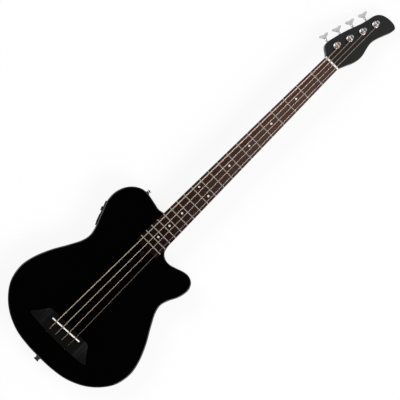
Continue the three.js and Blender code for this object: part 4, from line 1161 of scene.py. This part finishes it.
stub_profile = [(1.7, -9.7), (2, -9.4), (2, -4.9)]
for name, place in tuner_places.items():
    turnings = [lathed("shaft", profile, 32, Matrix()) for profile in (shaft_profile, stub_profile)]
    shaft = joined("shaft", [loft("worm", thread_rows), *turnings])
    shaft.data.transform(turned(-90, "X"))
    paddle = plate("paddle", paddle_outline, -paddle_thickness / 2, paddle_thickness / 2)
    rounded(paddle, 0.0011, steps=5)
    key = joined(f"key_{name}", [shaft, paddle])
    key.data.transform(place @ at(-worm_offset, 0, key_axis))
    paint(key, satin_chrome)
    fitted(key, "chrome", f"tuner_key_{name}", body=f"key_{name}", angle=40)

# Strap button: a turned brass button on a black plastic washer, held to the shoulder by a long screw.
# Its shank is plated black, and its flange and the head of the screw are chromed.
plastic = Finish("black_plastic", Base_Color=rgb(5, 5, 5), IOR=1.45, Specular_IOR_Level=0.2)
plastic.feed(Roughness=0.36 + 0.2 * plastic.noise((40, 40, 40), 3))
plastic.bump(plastic.noise((900, 900, 900), 3), 0.00003)
washer_profile = [(2.7, 0.02), (6.6, 0.02), (6.75, 0.2), (6.75, 1.3), (6.5, 1.6), (3, 1.62)]
washer = lathed("strap_washer", washer_profile, 48, button_place)
paint(washer, plastic)
fitted(washer, "preamp_plastic")
button_profile = [
    (1.4, -18), (2.5, -16), (2.5, 1), (5.9, 1.62), (5.6, 2), (4.2, 3), (3.7, 4), (3.6, 5.2), (3.9, 6.6),
    (4.8, 7.9), (5.45, 8.5), (5.6, 8.9), (5.6, 9.5), (5.4, 9.9), (5, 10), (3.4, 10), (3.1, 9.4),
]
screw_seat, shank_end = 0.0094, 0.0056
button = lathed("strap_button_chrome", button_profile, 48, button_place)
button_screw = screw("screw", button_place @ at(0, 0, screw_seat) @ turned(180, "X"), chrome, 1.3)
black_plate = Finish("black_plate", Base_Color=rgb(9, 9, 10), IOR=1.5)
black_plate.feed(Roughness=0.28 + 0.2 * black_plate.noise((160, 160, 160), 4))
black_plate.bump(black_plate.noise((1200, 1200, 1200), 2), 0.000004)
paint(button, chrome)
paint(button, black_plate, lambda centre, normal: centre.x < body_end + shank_end)
strap_button = joined("strap_button_chrome", [button, button_screw])
fitted(strap_button, "chrome", "strap_button")

# End pin: the strap button at the tail, turned with its washer and plated black, with a chromed bore
# that is the socket of the output jack.
endpin_place = at(-tail_reach, 0, middle) @ turned(-90, "Y")
endpin_profile = [
    (5.2, -38), (5.4, -37.6), (5.4, 0.02), (6.7, 0.02), (6.75, 0.2), (6.75, 1.3), (6.5, 1.67), (5.7, 2.6),
    (5.4, 3.5), (5.4, 6.5), (5.7, 7.4), (6.4, 8.3), (6.6, 8.7), (6.6, 9.5), (6.4, 9.9), (6.1, 10), (4, 10),
]
endpin = lathed("endpin_chrome", endpin_profile, 48, endpin_place)
paint(endpin, black_plate)
socket_radius, socket_depth = 0.0033, 0.024
cut(endpin, chrome, bore("socket", socket_radius, -socket_depth, overrun, endpin_place, 40))
fitted(endpin, "chrome", "endpin_jack")

# Preamp: a moulded black bezel let into the side, with the battery's bay and a box for the circuit
# behind it, and four small screws in its corners.
bay_start, bay_length, bay_height, bay_depth = -0.02305, 0.0201, 0.0305, 0.0524
housing_length, housing_height, housing_wall, circuit_depth = 0.0493, 0.0337, 0.0016, 0.03
bezel = plate("preamp_bezel", round_rectangle(panel_length, panel_height, 0.003, 6), 0, panel_thickness)
rounded(bezel, 0.0008, lambda a, b: max(a.z, b.z) < fit, 4)
bezel.data.transform(turned(90, "X"))
boxes = [
    ((-housing_length / 2, -bay_depth - housing_wall, -housing_height / 2),
     (bay_start + bay_length + housing_wall, -panel_thickness / 2, housing_height / 2)),
    ((bay_start + bay_length, -circuit_depth, -housing_height / 2 + 0.0001),
     (housing_length / 2, -panel_thickness / 2 - 0.0001, housing_height / 2 - 0.0001)),
]
paint(bezel, plastic)
cut(bezel, plastic, *(block("box", low, high) for low, high in boxes), operation="UNION")
bay = block(
    "bay", (bay_start, -bay_depth, -bay_height / 2), (bay_start + bay_length, overrun, bay_height / 2))
knobs = {"volume": ("volume", 0.012), "bass": ("bass_tone", 0.0), "treble": ("treble_tone", -0.012)}
knob_places = {name: at(knob_x, 0, across) @ turned(-90, "X") for name, (_, across) in knobs.items()}
knob_bore, knob_depth = 0.0028, 0.0083
knob_holes = [bore("hole", knob_bore, -knob_depth, overrun, place, 24) for place in knob_places.values()]
cut(bezel, plastic, bay, *knob_holes)
screw_x, screw_y, screw_z = 0.0272, -0.0005, 0.0185
bezel_screws = joined("bezel_screws", [
    screw("screw", at(x, screw_y, z) @ turned(90, "X"), steel, 0.7)
    for x in (-screw_x, screw_x) for z in (-screw_z, screw_z)])
for piece in (bezel, bezel_screws):
    piece.data.transform(panel_place)
fitted(bezel, "preamp_plastic", "preamp_housing")
fitted(bezel_screws, "steel")

# Knobs: three small knobs moulded in black plastic, for volume, bass and treble, with a fluted grip
# and a pale painted pointer line.
pointer_paint = Finish("pale_pointer_paint", Base_Color=rgb(225, 225, 220))
pointer_paint.feed(Roughness=0.4 + 0.2 * pointer_paint.noise((800, 800, 800), 3))
knob_profile = [
    (2.5, -8, 0), (2.5, 0.25, 0), (4.7, 0.3, 0), (4.7, 0.7, 0), (4.7, 0.9, 1), (4.65, 2.7, 1), (4.5, 3, 0.5),
    (4.2, 3.2, 0),
]
knob_sides, flute_depths = 72, (0, 0.12, 0.24, 0.12)
knob_rows = [
    [swung(radius - flute * flute_depths[i % 4], 2 * math.pi * i / knob_sides, height) / 1000
     for i in range(knob_sides)]
    for radius, height, flute in knob_profile]
for knob_name, (turning, _) in knobs.items():
    knob = loft(f"{knob_name}_knob", knob_rows)
    paint(knob, plastic)
    pointer = block("pointer", (-0.0003, 0.0012, 0.003), (0.0003, 0.0041, 0.00321))
    paint(pointer, pointer_paint)
    knob = joined(f"{knob_name}_knob", [knob, pointer])
    knob.data.transform(panel_place @ knob_places[knob_name] @ turned(180, "Z"))
    fitted(knob, "preamp_plastic", f"knob_{knob_name}", body=turning)

# Battery drawer: a moulded tray that slides out of the bezel by a finger pull, with a block battery
# lying in it.
tray_wall, tray_front, tray_pull = 0.0014, 0.0024, 0.0008
tray_length, tray_height, tray_depth = 0.0529, 0.0299, 0.0195
low = (bay_start + fit, tray_pull - tray_length, -tray_height / 2)
high = (bay_start + fit + tray_depth, tray_pull, tray_height / 2)
drawer = block("drawer_tray", low, high)
rounded(drawer, 0.0006, lambda a, b: min(a.y, b.y) > tray_pull - fit, 3)
hollow = block(
    "hollow", (low[0] + tray_wall, low[1] + tray_wall, low[2] + tray_wall),
    (high[0] + overrun, high[1] - tray_front, high[2] - tray_wall))
pull_place = at(high[0] - 0.0095, tray_pull + 0.0048, 0) @ Matrix.Scale(1.4, 4, (0, 0, 1))
paint(drawer, plastic)
cut(drawer, plastic, hollow, bore("finger_pull", 0.006, -0.004, 0.004, pull_place, 40))
drawer.data.transform(panel_place)
fitted(drawer, "preamp_plastic", "battery_drawer", body="drawer")
battery_length, battery_width, battery_thickness, terminal_height = 0.0485, 0.0265, 0.0175, 0.0016
can = Finish("printed_battery_can", Metallic=0.6)
band = can.noise((3, 3, 60), 2)
can.feed(Base_Color=can.mix(band, rgb(30, 32, 36), rgb(70, 74, 80)))
can.feed(Roughness=0.3 + 0.25 * can.noise((200, 200, 200), 4))
battery_low = (low[0] + tray_wall + fit, tray_pull - tray_front - fit - battery_length, -battery_width / 2)
can_end = battery_low[1] + battery_length - terminal_height
battery = block(
    "battery_can", battery_low, (battery_low[0] + battery_thickness, can_end, battery_low[2] + battery_width))
rounded(battery, 0.0018, lambda a, b: abs(a.y - b.y) > fit, 4)
rounded(battery, 0.0004, lambda a, b: abs(a.y - b.y) < fit / 2, 2)
paint(battery, can)
terminals = []
for z, radius in ((-0.0064, 0.0036), (0.0064, 0.0029)):
    place = at(battery_low[0] + battery_thickness / 2, can_end, z) @ turned(-90, "X")
    terminals.append(bore("terminal", radius, 0, terminal_height, place, 24))
    paint(terminals[-1], steel)
battery = joined("battery_can", [battery, *terminals])
battery.data.transform(panel_place)
fitted(battery, "battery_case", "battery", body="drawer")

# Truss nut: a turned steel barrel on the end of the rod, blued and darkened further as painted shade
# of the slot it lies in. A key goes into its hexagonal socket through the slot in the top.
rod_nut_start, rod_axis = 0.238, body_depth - 0.0048
nut_place = at(rod_nut_start, 0, rod_axis) @ turned(90, "Y")
truss_nut_profile = [(2.7, 0), (3.7, 0), (4, 0.3), (4, 13.7), (3.7, 14), (1.5, 14)]
truss_nut = lathed("truss_nut_steel", truss_nut_profile, 32, nut_place)
paint(truss_nut, steel)
cut(truss_nut, steel, bore("hexagon", 0.0026, -overrun, 0.005, nut_place, 6))
fitted(truss_nut, "steel", "truss_nut", body="truss_adjuster")
